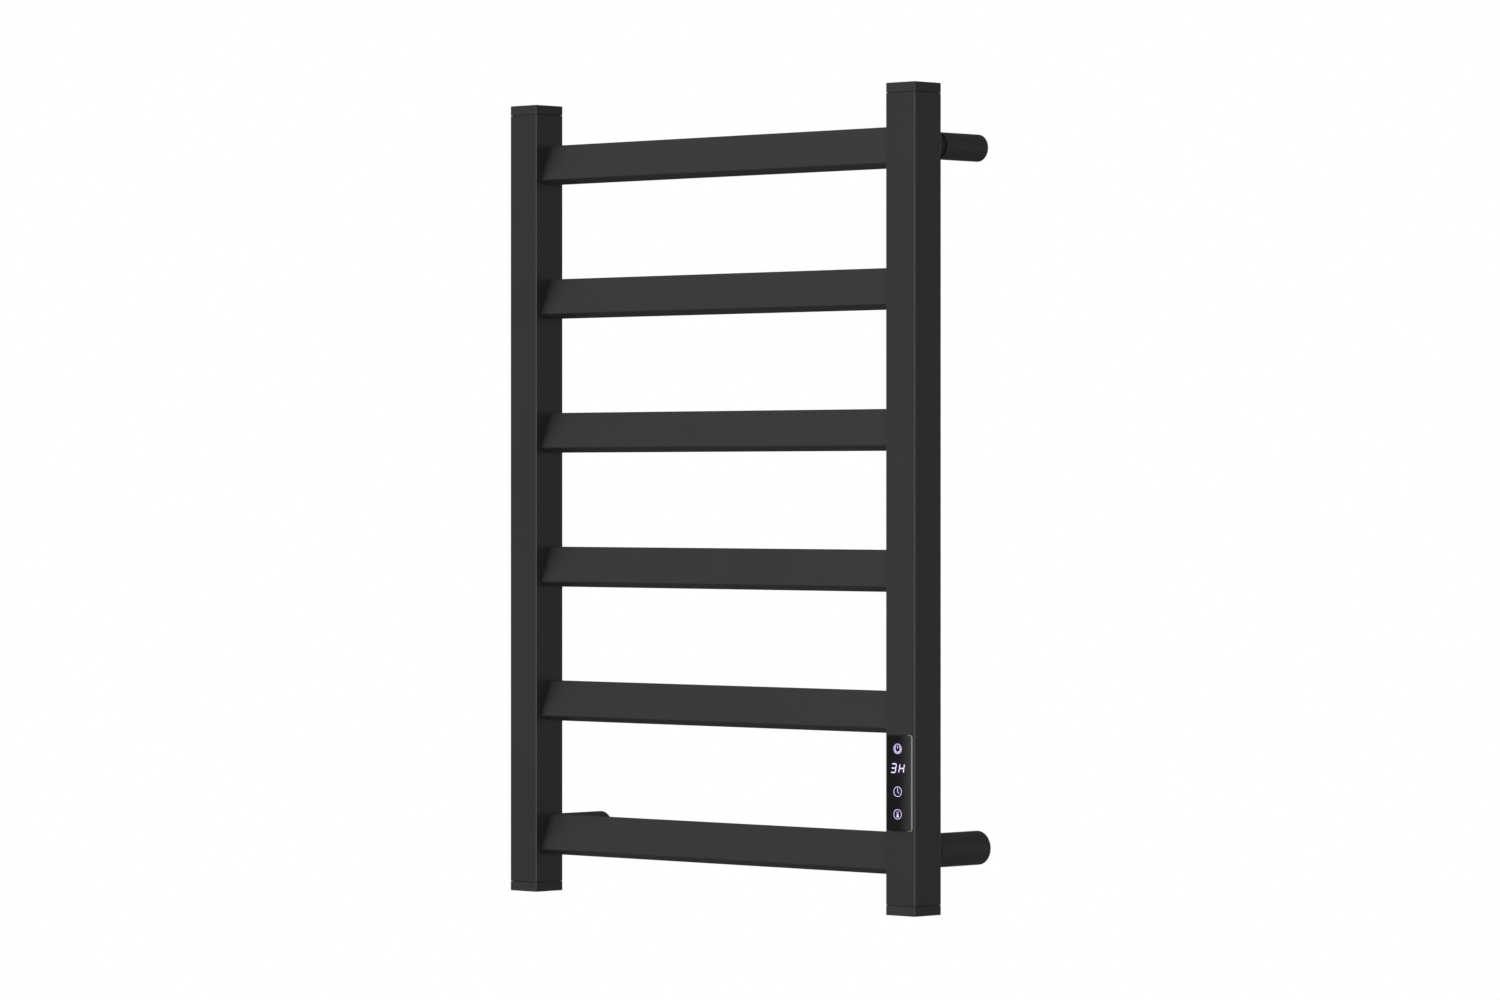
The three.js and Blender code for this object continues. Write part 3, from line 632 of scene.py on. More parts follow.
def sprayed(name, finish, tone, roughness, values=None, corner_highlight_gain=1.0, swing=0.06, spread=0.04):
    """A matt sprayed or moulded black with fine grain and a slightly uneven shade.

    A painted highlight: on the marked corners the tone is made lighter by the given factor.
    """
    made, tree, shader = new_material(name, tone, roughness, values)
    grain = place_group(tree, coat_grain, size=finish.grain_size)
    tones = vary_colour(tree, shader, grain["Shade"], tone, 1 - swing, 1 + swing)
    # Painted highlight: a paler tone on the marked rounded corners.
    if corner_highlight_gain > 1:
        corner = add(tree, "ShaderNodeAttribute", attribute_name="corner")
        highlighted = mix(tree, corner.outputs["Fac"], tones, scaled(tone, corner_highlight_gain))
        fill(tree, shader, {"Base Color": highlighted})
    vary_roughness(tree, shader, grain["Shade"], roughness - spread, roughness + spread)
    raise_surface(tree, shader, grain["Height"], finish.grain_height)
    return made


def powder_coat(finish):
    return sprayed("powder_coat", finish, finish.coat_colour, finish.coat_roughness,
                   corner_highlight_gain=finish.painted_corner_highlight)


def cap_plastic(finish):
    # The caps get half of the painted corner highlight.
    return sprayed("cap_plastic", finish, finish.cap_colour, finish.cap_roughness,
                   {"Specular IOR Level": 0.05}, finish.painted_corner_highlight / 2)


def rubber(finish):
    return sprayed("rubber", finish, (0.012, 0.012, 0.012), roughness=0.8)


def black_steel(finish):
    return sprayed("black_steel", finish, (0.05, 0.05, 0.05), roughness=0.38,
                   values={"Metallic": 0.9})


# Where the painted highlight on the frame's right side ramps in.
RIM_HIGHLIGHT_START = PANEL_HIGH.x - 9 * MM
RIM_HIGHLIGHT_END = PANEL_HIGH.x - 1 * MM


def panel_plastic(finish, roughness=0.22, smoothest=0.2, roughest=0.26, swing=0.1):
    """Gloss black, with a painted highlight along the frame's right side: a paler tone ramped in
    across X.
    """
    made, tree, shader = new_material("panel_plastic", finish.frame_colour, roughness)
    grain = place_group(tree, coat_grain, size=finish.grain_size)
    tones = vary_colour(tree, shader, grain["Shade"], finish.frame_colour, 1 - swing, 1 + swing)
    vary_roughness(tree, shader, grain["Shade"], smoothest, roughest)
    # Painted highlight: the frame's right side, in front of the post, takes the paler tone.
    along = add(tree, "ShaderNodeSeparateXYZ", {"Vector": object_place(tree)}).outputs
    right = ramp(tree, along["X"], RIM_HIGHLIGHT_START, RIM_HIGHLIGHT_END, kind="SMOOTHSTEP")
    front = calculate(tree, "LESS_THAN", along["Y"], POST_LOW.y)
    bright = calculate(tree, "MULTIPLY", right, front)
    fill(tree, shader, {"Base Color": mix(tree, bright, tones, finish.rim_highlight_colour)})
    return made


def metal(name, tone, roughness, darkest=0.85, lightest=1.1, smoother=0.1, rougher=0.12):
    """A machined metal with tool lines and cloudy roughness."""
    made, tree, shader = new_material(name, tone, roughness, {"Metallic": 1.0})
    lines = place_group(tree, tool_lines, spacing=TOOL_LINES["spacing"])["Height"]
    vary_colour(tree, shader, lines, tone, darkest, lightest)
    vary_roughness(tree, shader, lines, roughness - smoother, roughness + rougher)
    raise_surface(tree, shader, lines, TOOL_LINES["height"])
    return made


def cast_aluminium(finish):
    return metal("cast_aluminium", (0.55, 0.56, 0.57), roughness=0.42)


def zinc_steel(finish):
    return metal("zinc_steel", (0.46, 0.47, 0.48), roughness=0.32)


def moulded(name, tone, roughness, mottle, darkest=0.88, lightest=1.1, smoother=0.06,
            rougher=0.08, height=0.01 * MM):
    """A smooth coloured plastic or rubber with a faint mottle."""
    made, tree, shader = new_material(name, tone, roughness)
    clouds = noise(tree, object_place(tree), mottle, Detail=4.0)
    vary_colour(tree, shader, clouds, tone, darkest, lightest)
    vary_roughness(tree, shader, clouds, roughness - smoother, roughness + rougher)
    raise_surface(tree, shader, clouds, height)
    return made


def terminal_plastic(finish):
    return moulded("terminal_plastic", (0.68, 0.65, 0.55), roughness=0.45, mottle=400.0)


def silicone(finish):
    return moulded("silicone", (0.45, 0.04, 0.02), roughness=0.55, mottle=700.0)


def lead_insulation(finish):
    return moulded("lead_insulation", (0.7, 0.7, 0.7), roughness=0.45, mottle=700.0)


def circuit_board(finish, mask=(0.012, 0.1, 0.04), track=(0.03, 0.2, 0.07), light=1.3,
                  tracks_per_metre=160.0, track_width=0.09, height=0.03 * MM, strength=0.6):
    """Green solder mask with copper tracks that show through it."""
    made, tree, shader = new_material("circuit_board", mask, roughness=0.4)
    flat = add(tree, "ShaderNodeMapping", {
        "Vector": object_place(tree), "Rotation": (math.pi / 2, 0, 0)})
    tracks = add(tree, "ShaderNodeTexBrick", {
        "Vector": flat.outputs[0], "Scale": tracks_per_metre, "Mortar Size": track_width,
        "Bias": 0.0, "Color1": (*mask, 1.0), "Color2": (*scaled(mask, light), 1.0),
        "Mortar": (*track, 1.0)}).outputs
    fill(tree, shader, {"Base Color": tracks["Color"]})
    raise_surface(tree, shader, tracks["Fac"], height, strength)
    return made


SYMBOL_SHIFT = 2.2 * MM
SYMBOL_DROPS = {"power": 14.6 * MM, "digits": 34.4 * MM, "clock": 58.3 * MM,
                "thermometer": 81.3 * MM}
HALO_REACH = {"digits": 13 * MM, "icon": 10 * MM}
# Where the painted reflection on the glass ramps in.
REFLECTION_START = PANEL_MIDDLE.x - 2 * MM
REFLECTION_END = GLASS_HIGH.x - 1 * MM


def symbol_places():
    """The middle of each lit symbol on the glass, from the top down."""
    return {name: Vector((PANEL_MIDDLE.x - SYMBOL_SHIFT, GLASS_LOW.y, PANEL_HIGH.z - drop))
            for name, drop in SYMBOL_DROPS.items()}


def panel_glass(finish, halo_tone=(0.35, 0.12, 1.0), smears=45.0, smoothest=0.05, roughest=0.12):
    """Deep gloss black glass with a violet glow round the symbols, and a painted reflection: a
    lighter tone across its right part.
    """
    made, tree, shader = new_material(
        "panel_glass", finish.glass_colour, roughness=0.07,
        values={"Emission Strength": finish.halo_light})
    glow = 0.0
    for name, centre in symbol_places().items():
        reach = HALO_REACH["digits" if name == "digits" else "icon"]
        halo = place_group(tree, symbol_halo, centre=centre, reach=reach)["Mask"]
        glow = calculate(tree, "MAXIMUM", glow, halo)
    place = object_place(tree)
    across = add(tree, "ShaderNodeSeparateXYZ", {"Vector": place}).outputs["X"]
    # Painted reflection: the base colour lightens towards the glass's right side.
    reflection_mask = ramp(tree, across, REFLECTION_START, REFLECTION_END, kind="SMOOTHSTEP")
    fill(tree, shader, {
        "Emission Color": mix(tree, glow, (0, 0, 0), halo_tone),
        "Base Color": mix(tree, reflection_mask, finish.glass_colour, finish.painted_reflection_colour)})
    blur = noise(tree, place, smears, Detail=5.0)
    vary_roughness(tree, shader, blur, smoothest, roughest)
    return made


def lit(name, tone, strength, unlit=0.5, dimmest=0.86, cells=500.0, cell_range=(0.3, 0.7)):
    """A lit symbol, slightly uneven like a diffuser over small lamps."""
    made, tree, shader = new_material(
        name, scaled(tone, unlit), roughness=0.4, values={"Emission Strength": strength})
    spread = ramp(tree, noise(tree, object_place(tree), cells, Detail=1.0), *cell_range)
    fill(tree, shader, {"Emission Color": mix(tree, spread, scaled(tone, dimmest), tone)})
    return made


def symbol_light(finish):
    return lit("symbol_light", finish.symbol_colour, finish.symbol_light)


def digit_light(finish):
    return lit("digit_light", finish.digit_colour, finish.symbol_light)


FINISHES = {maker.__name__: maker for maker in (
    powder_coat, cap_plastic, panel_plastic, panel_glass, cast_aluminium, zinc_steel,
    black_steel, rubber, circuit_board, terminal_plastic, silicone, lead_insulation,
    symbol_light, digit_light)}


def material(name):
    """A finish by its name, made the first time that it is asked for."""
    made = bpy.data.materials.get(f"{name}_finish")
    return made or FINISHES[name](bpy.context.scene.rack_finish)


# ------------------------------------------------------------------ posts, caps and rungs


def rung_corners(sizes):
    """A rung's sharp corners in depth and height, from its nose anticlockwise."""
    nose = Vector((0.0, 0.0))
    face = Vector((math.sin(sizes.face_lean), math.cos(sizes.face_lean)))
    under = Vector((math.cos(sizes.under_slope), -math.sin(sizes.under_slope)))
    keel = nose + under * sizes.under_length
    crest = nose + face * sizes.face_length
    return [nose, keel, crest + under * sizes.under_length, crest]


def rung_section(sizes, rung, grow_by=0.0):
    """A rung's outline in Y and Z where the frame has that rung."""
    low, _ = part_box(rung)
    plain = filleted(rung_corners(sizes), sizes.rung_corner)
    shift = Vector((low.y - min(point.x for point in plain),
                    low.z - min(point.y for point in plain)))
    corners = offset(rung_corners(sizes), grow_by)
    radius = max(sizes.rung_corner + grow_by, sizes.rung_corner / 2)
    return [point + shift for point in filleted(corners, radius)]


SLOT_REACH = 1.4
SHANK_HOLE = {"top": 5.9 * MM, "bottom": 10.0 * MM}
EARTH_HOLE = 2.3 * MM
TRAY_WIDTH = 29 * MM
TRAY_HEIGHT = 92 * MM
TRAY_CORNER = 1 * MM
TRAY_PLAY = 0.3 * MM


def post_tools(sizes, side):
    """What is cut out of a post: rung slots, fixing holes and, on the right, the window."""
    bm = bmesh.new()
    low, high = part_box(f"{side}_post")
    inner = high.x if side == "left" else low.x
    reach = sizes.post_wall * SLOT_REACH
    for rung in RUNGS:
        outline = rung_section(sizes, rung, sizes.rung_play)
        loft(bm, [[Vector((x, point.x, point.y)) for point in outline]
                  for x in (inner - reach, inner + reach)])
    holes = [(middle(f"neck_{level}_{side}"), SHANK_HOLE[level]) for level in LEVELS]
    if side == "right":
        holes.append((middle("earth_screw"), EARTH_HOLE))
        block(bm, PANEL_MIDDLE, TRAY_WIDTH + 2 * TRAY_PLAY, TRAY_HEIGHT + 2 * TRAY_PLAY,
              TRAY_CORNER + TRAY_PLAY, (low.y - OVERSHOOT, low.y + sizes.post_wall + OVERSHOOT))
    rear_wall = (high.y - sizes.post_wall - OVERSHOOT, high.y + OVERSHOOT)
    for centre, radius in holes:
        level_bar(bm, centre, rear_wall, radius, ROUND_STEPS)
    return bm


def make_post(sizes, side):
    name = f"{side}_post"
    low, high, centre, half = measure(name)
    edge = sizes.cap_groove
    inner = half - sizes.post_wall
    bm = bmesh.new()
    loft(bm, [square_loop(centre, *row) for row in (
        (half - edge, sizes.post_corner - edge, low.z),
        (half, sizes.post_corner, low.z + edge),
        (half, sizes.post_corner, high.z - edge),
        (half - edge, sizes.post_corner - edge, high.z),
        (inner, sizes.post_corner / 3, high.z),
        (inner, sizes.post_corner / 3, low.z))], closed=True)
    post = to_object(f"{name}_tube", bm, "powder_coat")
    boolean(post, post_tools(sizes, side))
    mark_corners(post)
    finish_piece(post, "rack", "powder_coat", name)


CAP_THICKNESS = 10 * MM
PLUG_INSET = 2.3 * MM
PLUG_WALL = 2 * MM
PLUG_CORNER = 0.6 * MM
PLUG_LEAD_IN = 1 * MM


def quarter_round(radius, depth):
    """How far an elliptic edge comes in, and how far from its end, from the end on."""
    angles = [math.pi / 2 * step / ARC_STEPS for step in range(ARC_STEPS + 1)]
    return [(radius * (1 - math.sin(angle)), depth * (1 - math.cos(angle))) for angle in angles]


def make_cap(sizes, level, side):
    """A cap: rounded outer edges, a fine groove at the post, and a hollow plug."""
    name = f"cap_{level}_{side}"
    low, high, centre, half = measure(name)
    outer, way = (high.z, -1) if level == "top" else (low.z, 1)
    plug_end = high.z - low.z
    groove = sizes.cap_groove
    loops = [(inset, sizes.post_corner - inset, depth)
             for inset, depth in quarter_round(sizes.cap_edge, sizes.cap_edge)]
    loops += [
        (0.0, sizes.post_corner, CAP_THICKNESS - groove),
        (groove, sizes.post_corner - groove, CAP_THICKNESS),
        (PLUG_INSET, PLUG_CORNER, CAP_THICKNESS),
        (PLUG_INSET, PLUG_CORNER, plug_end - PLUG_LEAD_IN),
        (PLUG_INSET + PLUG_LEAD_IN / 2, PLUG_CORNER, plug_end),
        (PLUG_INSET + PLUG_WALL, PLUG_CORNER, plug_end),
        (PLUG_INSET + PLUG_WALL, PLUG_CORNER, CAP_THICKNESS),
    ]
    bm = bmesh.new()
    loft(bm, [square_loop(centre, half - inset, radius, outer + way * depth)
              for inset, radius, depth in loops])
    cap = to_object(f"{name}_moulding", bm, "cap_plastic")
    mark_corners(cap)
    finish_piece(cap, "rack", "cap_plastic", name)


def make_rungs(sizes):
    """The six rungs from one hollow section."""
    low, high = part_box(RUNGS[-1])
    top_low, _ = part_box(RUNGS[0])
    outer = rung_section(sizes, RUNGS[-1])
    inner = rung_section(sizes, RUNGS[-1], -sizes.rung_wall)
    points = [(low.x, point.x, point.y) for point in outer + inner]
    count = len(outer)
    faces = [(i, (i + 1) % count, count + (i + 1) % count, count + i) for i in range(count)]
    rungs = grow("rungs", points, [], faces, ladder_tree(), length=high.x - low.x,
                 pitch=(top_low.z - low.z) / (len(RUNGS) - 1), count=len(RUNGS),
                 material=material("powder_coat"))
    finish_piece(rungs, "rack", "powder_coat", *RUNGS)


# ------------------------------------------------------------------ standoffs

NECK = {
    "top": {"shank": 3.9 * MM, "bore": 0.0, "recess": 7.9 * MM, "recess_depth": 1.5 * MM},
    "bottom": {"shank": 9.7 * MM, "bore": 6.8 * MM, "recess": 0.0, "recess_depth": 0.0},
}
NECK_GAP = 0.3 * MM
NECK_FLAT = 1.5 * MM
NECK_FLAT_SETBACK = 3 * MM
SCREW_HOLE = 2.7 * MM
SCREW_KINDS = ("neck_screw", "socket_screw")
SLEEVE_HOLE_TOP = 0.7
SOCKET_HOLE_TOP = 0.66


def screw_holes(level, side, hole_top):
    """Tools for the two screw holes in a sleeve's underside. They end hole_top below its axis."""
    bm = bmesh.new()
    low, _, axis, _ = measure(f"sleeve_{level}_{side}")
    for kind in SCREW_KINDS:
        centre = middle(f"{kind}_{level}_{side}")
        bar(bm, Vector((centre.x, centre.y, low.z - OVERSHOOT)),
            Vector((centre.x, centre.y, axis.z - hole_top)), SCREW_HOLE)
    return bm


def make_sleeve(sizes, level, side):
    name = f"sleeve_{level}_{side}"
    low, high, centre, outer = measure(name)
    _, _, _, neck_radius = measure(f"neck_{level}_{side}")
    inner = neck_radius + NECK_GAP
    edge = sizes.tube_edge
    bm = bmesh.new()
    turned(bm, centre, [(inner, low.y), (outer, low.y), (outer, high.y), (inner, high.y)],
           [edge / 2, edge, edge, edge / 2])
    sleeve = to_object(f"{name}_tube", bm, "powder_coat")
    boolean(sleeve, screw_holes(level, side, inner * SLEEVE_HOLE_TOP))
    finish_piece(sleeve, "wall_brackets", "powder_coat", name)


def make_neck(sizes, level, side):
    """A neck: a shank through the post, a wide spigot behind it, and a flat for its screw."""
    name = f"neck_{level}_{side}"
    low, high, centre, radius = measure(name)
    sleeve_low, _, axis, _ = measure(f"sleeve_{level}_{side}")
    centre.z = axis.z
    plan = NECK[level]
    front = POST_HIGH.y + NECK_GAP
    edge = sizes.tube_edge
    profile = [(plan["bore"], low.y), (plan["shank"], low.y)]
    if plan["recess"]:
        floor = front + plan["recess_depth"]
        profile += [(plan["shank"], floor), (plan["recess"], floor), (plan["recess"], front)]
    else:
        profile.append((plan["shank"], front))
    sharp = [0.0] * (len(profile) - 2)
    profile += [(radius, front), (radius, high.y), (plan["bore"], high.y)]
    bm = bmesh.new()
    turned(bm, centre, profile, [0.0, edge, *sharp, edge / 2, edge, 0.0])
    neck = to_object(f"{name}_spigot", bm, "powder_coat")
    flat = bmesh.new()
    block(flat, Vector((centre.x, 0, centre.z - radius)), 3 * radius, 2 * NECK_FLAT,
          NECK_FLAT / 4, (sleeve_low.y + NECK_FLAT_SETBACK, high.y + OVERSHOOT))
    boolean(neck, flat)
    finish_piece(neck, "rack", "powder_coat", name)


SOCKET = {"fixing": {"top": 2.75 * MM, "bottom": 2.25 * MM}, "cable": 6.8 * MM,
          "counterbore": 5.2 * MM, "counterbore_depth": 5 * MM, "off_axis": 11 * MM}


def make_socket(sizes, level, side):
    """The plug on the wall: screw holes, and a cable hole in the bottom pair."""
    name = f"wall_socket_{level}_{side}"
    low, high, centre, radius = measure(name)
    edge = sizes.tube_edge
    hole = SOCKET["fixing"]["top"] if level == "top" else SOCKET["cable"]
    profile = [(hole, low.y), (radius, low.y), (radius, high.y), (hole, high.y)]
    radii = [edge / 2, edge, edge / 2, edge / 2]
    if level == "top":
        floor = low.y + SOCKET["counterbore_depth"]
        wide = SOCKET["counterbore"]
        profile[:1] = [(hole, floor), (wide, floor), (wide, low.y)]
        radii[:1] = [0.0, 0.0, edge / 2]
    bm = bmesh.new()
    turned(bm, centre, profile, radii)
    socket = to_object(f"{name}_plug", bm, "cast_aluminium")
    boolean(socket, screw_holes(level, side, radius * SOCKET_HOLE_TOP))
    if level == "bottom":
        holes = bmesh.new()
        for way in (-1, 1):
            beside = centre + Vector((way * SOCKET["off_axis"], 0, 0))
            level_bar(holes, beside, (low.y - OVERSHOOT, high.y + OVERSHOOT),
                      SOCKET["fixing"]["bottom"])
        boolean(socket, holes)
    finish_piece(socket, "wall_brackets", "cast_aluminium", name)


HEX_SIDES = 6
HEX_RADIUS = 1.45 * MM
HEX_DEPTH = 1.2 * MM
SCREW_CHAMFER = 0.25 * MM


def grub_template(kind):
    """One grub screw with its foot at the origin, pointing up."""
    low, high, _, radius = measure(f"{kind}_top_left")
    tall = high.z - low.z
    bm = bmesh.new()
    loft(bm, [round_loop(size, z, SMALL_ROUND_STEPS) for size, z in (
        (radius - SCREW_CHAMFER, 0.0), (radius, SCREW_CHAMFER),
        (radius, tall - SCREW_CHAMFER), (radius - SCREW_CHAMFER, tall))])
    hexagon = bmesh.new()
    bar(hexagon, Vector((0, 0, -OVERSHOOT)), Vector((0, 0, HEX_DEPTH)), HEX_RADIUS, HEX_SIDES)
    return boolean(to_object(f"{kind}_template", bm), hexagon)


def make_grub_screws(kind, tree):
    """All grub screws of one kind, one on each sleeve."""
    nodes = [f"{kind}_{level}_{side}" for level, side in STANDS]
    feet = [(middle(node).x, middle(node).y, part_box(node)[0].z) for node in nodes]
    template = grub_template(kind)
    screws = grow(f"{kind}s", feet, [], [], tree, template=template,
                  material=material("black_steel"))
    bpy.data.objects.remove(template)
    finish_piece(screws, "wall_brackets", "black_steel", *nodes)


# ------------------------------------------------------------------ touch panel

PANEL_CORNER = 3.8 * MM
PANEL_RIM = 0.7 * MM
PANEL_FLOOR_DEPTH = 0.9 * MM
FLANGE_GAP = 0.2 * MM
TRAY_WALL = 1.5 * MM
RIM_EDGE = 0.6 * MM
RIM_EDGE_DEPTH = 1.2 * MM
WIRE_SLOT = Vector((18 * MM, 12 * MM, 12 * MM))
BOSS_RADIUS = 2.6 * MM
BOSS_HOLE = 1.5 * MM
BOSS_START = 1.9 * MM
GLASS_CORNER = 2.8 * MM


def make_housing():
    """The panel's raised frame and the tray behind it, in one moulding."""
    width, height = PANEL_HIGH.x - PANEL_LOW.x, PANEL_HIGH.z - PANEL_LOW.z
    flange_rear = POST_LOW.y - FLANGE_GAP
    floor = PANEL_LOW.y + PANEL_FLOOR_DEPTH
    tray_floor = PANEL_HIGH.y - TRAY_WALL
    tray = (TRAY_WIDTH, TRAY_HEIGHT, TRAY_CORNER)
    hollow = (TRAY_WIDTH - 2 * TRAY_WALL, TRAY_HEIGHT - 2 * TRAY_WALL, TRAY_CORNER / 2)
    pocket = (width - 2 * PANEL_RIM, height - 2 * PANEL_RIM, PANEL_CORNER - PANEL_RIM)
    rim = [(width - 2 * inset, height - 2 * inset, PANEL_CORNER - inset, PANEL_LOW.y + depth)
           for depth, inset in quarter_round(RIM_EDGE_DEPTH, RIM_EDGE)]
    plan = [(*tray, PANEL_HIGH.y), (*tray, flange_rear), (width, height, PANEL_CORNER, flange_rear),
            *rim, (*pocket, PANEL_LOW.y), (*pocket, floor), (*hollow, floor),
            (*hollow, tray_floor)]
    bm = bmesh.new()
    loft(bm, [upright_loop(PANEL_MIDDLE, *row) for row in plan])
    housing = to_object("panel_housing_moulding", bm, "panel_plastic")
    bosses, holes, slot = bmesh.new(), bmesh.new(), bmesh.new()
    board_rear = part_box("control_board")[0].y + BOSS_START
    for node in ("board_screw_lower", "board_screw_upper"):
        screw = middle(node)
        level_bar(bosses, screw, (board_rear, tray_floor + TRAY_WALL / 3), BOSS_RADIUS)
        level_bar(holes, screw, (board_rear - OVERSHOOT, tray_floor), BOSS_HOLE)
    block(slot, PANEL_MIDDLE + Vector((0, 0, TRAY_HEIGHT / 2)), WIRE_SLOT.x, WIRE_SLOT.z / 2,
          TRAY_CORNER / 2, (tray_floor - WIRE_SLOT.y, tray_floor))
    boolean(housing, bosses, "UNION")
    boolean(housing, holes)
    boolean(housing, slot)
    finish_piece(housing, "rack", "panel_plastic", "panel_housing")


def make_glass(sizes):
    """The touch glass with a polished bevel round its front."""
    width, height = GLASS_HIGH.x - GLASS_LOW.x, GLASS_HIGH.z - GLASS_LOW.z
    edge = sizes.glass_edge
    bm = bmesh.new()
    loft(bm, [upright_loop((GLASS_LOW + GLASS_HIGH) / 2, width - 2 * inset, height - 2 * inset,
                           GLASS_CORNER - inset, y) for inset, y in (
        (0.0, GLASS_HIGH.y), (0.0, GLASS_LOW.y + edge), (edge / 2, GLASS_LOW.y + edge / 4),
        (edge, GLASS_LOW.y))])
    glass = to_object("touch_glass_plate", bm, "panel_glass")
    finish_piece(glass, "rack", "panel_glass", "touch_glass")


# ------------------------------------------------------------------ lit symbols

SYMBOL_RISE = 0.04 * MM
STROKE_END_STEPS = 8
RING_STEPS = 64
ARC_POINTS = 40
ICON_RADIUS = 4.95 * MM
ICON_STRETCH = 1.05
ICON_LINE = 0.42 * MM
RING_GAP = 4
UP, DOWN = 90, 270
HALF_TURN, FULL_TURN = 180, 360

POWER = {"arc": 0.7, "opening": 42, "arc_line": 1.6, "bar": ((0.0, 0.74), (0.0, 0.02)),
         "bar_line": 0.9}
CLOCK = {"hands": ((0.0, 0.66), (0.0, 0.0), (0.33, -0.36)), "line": 1.05}
THERMOMETER = {"tube": ((-0.2, -0.2), (-0.2, 0.72)), "wall": 0.45,
               "liquid": ((0.0, 0.3), (0.0, -0.3)), "liquid_line": 0.9,
               "bulb_middle": (0.0, -0.42), "bulb": 0.25, "bulb_sides": 36}
DIGIT = {"width": 7.3 * MM, "height": 10.0 * MM, "line": 1.2 * MM, "gap": 3.7 * MM,
         "lean": math.radians(10.6), "cut": 0.1 * MM}
DIGIT_BARS = {"three": "abcdg", "h": "bcefg"}


def stroke(bm, path, width, depths):
    """A flat stroke with round ends along a path in X and Z."""
    half = width / 2
    left, right = [], []
    for i, point in enumerate(path):
        ahead = (path[min(i + 1, len(path) - 1)] - path[max(i - 1, 0)]).normalized()
        normal = Vector((-ahead.y, ahead.x))
        left.append(point + normal * half)
        right.append(point - normal * half)
    outline = right[:]
    for centre, spoke in ((path[-1], right[-1] - path[-1]), (path[0], left[0] - path[0])):
        outline += [centre + Matrix.Rotation(math.pi * step / STROKE_END_STEPS, 2) @ spoke
                    for step in range(1, STROKE_END_STEPS)]
        if centre is path[-1]:
            outline += left[::-1]
    plate(bm, outline, depths)


def ring(bm, centre, radius, width, depths):
    """A flat ring in X and Z, stretched as the icons are."""
    outer, inner = radius + width / 2, radius - width / 2
    loft(bm, [[Vector((centre.x + size * ICON_STRETCH * math.cos(angle), y,
                       centre.y + size * math.sin(angle))) for angle in turns(RING_STEPS)]
              for size, y in ((outer, depths[0]), (outer, depths[1]), (inner, depths[1]),
                              (inner, depths[0]))], closed=True)


def on_icon(centre, *points):
    """Points of an icon, given as shares of its ring's radius."""
    return [centre + Vector((x * ICON_STRETCH, y)) * ICON_RADIUS for x, y in points]


def arc(centre, size, start, end, steps=ARC_POINTS):
    """Points on a part of an icon's ring, or of a smaller one. Angles are degrees from +X."""
    angles = [math.radians(start + (end - start) * i / steps) for i in range(steps + 1)]
    return on_icon(centre, *[(size * math.cos(a), size * math.sin(a)) for a in angles])


def split_ring(bm, centre, depths):
    """A ring with a hairline gap at its top and its bottom."""
    for start in (UP, DOWN):
        half = arc(centre, 1.0, start + RING_GAP, start + HALF_TURN - RING_GAP)
        stroke(bm, half, ICON_LINE, depths)


def power_symbol(bm, centre, depths):
    """A split ring with an open arc and a bar in it."""
    split_ring(bm, centre, depths)
    opening = POWER["opening"]
    stroke(bm, arc(centre, POWER["arc"], UP + opening, UP + FULL_TURN - opening),
           POWER["arc_line"] * ICON_LINE, depths)
    stroke(bm, on_icon(centre, *POWER["bar"]), POWER["bar_line"] * ICON_LINE, depths)


def clock_symbol(bm, centre, depths):
    """A whole ring with two hands."""
    ring(bm, centre, ICON_RADIUS, ICON_LINE, depths)
    stroke(bm, on_icon(centre, *CLOCK["hands"]), CLOCK["line"] * ICON_LINE, depths)


def thermometer_symbol(bm, centre, depths):
    """A split ring with a glass tube, its liquid and its bulb."""
    split_ring(bm, centre, depths)
    plan = THERMOMETER
    tube = on_icon(centre, *plan["tube"])
    for wall in (tube, [Vector((2 * centre.x - point.x, point.y)) for point in tube]):
        stroke(bm, wall, plan["wall"] * ICON_LINE, depths)
    stroke(bm, on_icon(centre, *plan["liquid"]), plan["liquid_line"] * ICON_LINE, depths)
    sides = plan["bulb_sides"]
    bulb_middle = on_icon(centre, plan["bulb_middle"])[0]
    plate(bm, arc(bulb_middle, plan["bulb"], 0, FULL_TURN - FULL_TURN / sides, sides - 1), depths)


def digit_bar(start, end):
    """The outline of one lit bar of a digit, with pointed ends."""
    half = DIGIT["line"] / 2
    along = (end - start).normalized()
    across = Vector((-along.y, along.x)) * half
    tip, shoulder = along * DIGIT["cut"], along * (half + DIGIT["cut"])
    return [start + tip, start + shoulder - across, end - shoulder - across,
            end - tip, end - shoulder + across, start + shoulder + across]


def digit(bm, name, centre, depths):
    """A seven-bar digit, leaning to the right."""
    right = (DIGIT["width"] - DIGIT["line"]) / 2
    top = (DIGIT["height"] - DIGIT["line"]) / 2
    ends = {"a": ((-right, top), (right, top)), "b": ((right, 0), (right, top)),
            "c": ((right, -top), (right, 0)), "d": ((-right, -top), (right, -top)),
            "e": ((-right, -top), (-right, 0)), "f": ((-right, 0), (-right, top)),
            "g": ((-right, 0), (right, 0))}
    for letter in DIGIT_BARS[name]:
        outline = digit_bar(*map(Vector, ends[letter]))
        plate(bm, [Vector((point.x + point.y * math.tan(DIGIT["lean"]), point.y)) + centre
                   for point in outline], depths)


def timer_digits(bm, centre, depths):
    """The two digits of the timer side by side."""
    spread = (DIGIT["width"] + DIGIT["gap"]) / 2
    for way, name in ((-1, "three"), (1, "h")):
        digit(bm, name, Vector((centre.x + way * spread, centre.y)), depths)


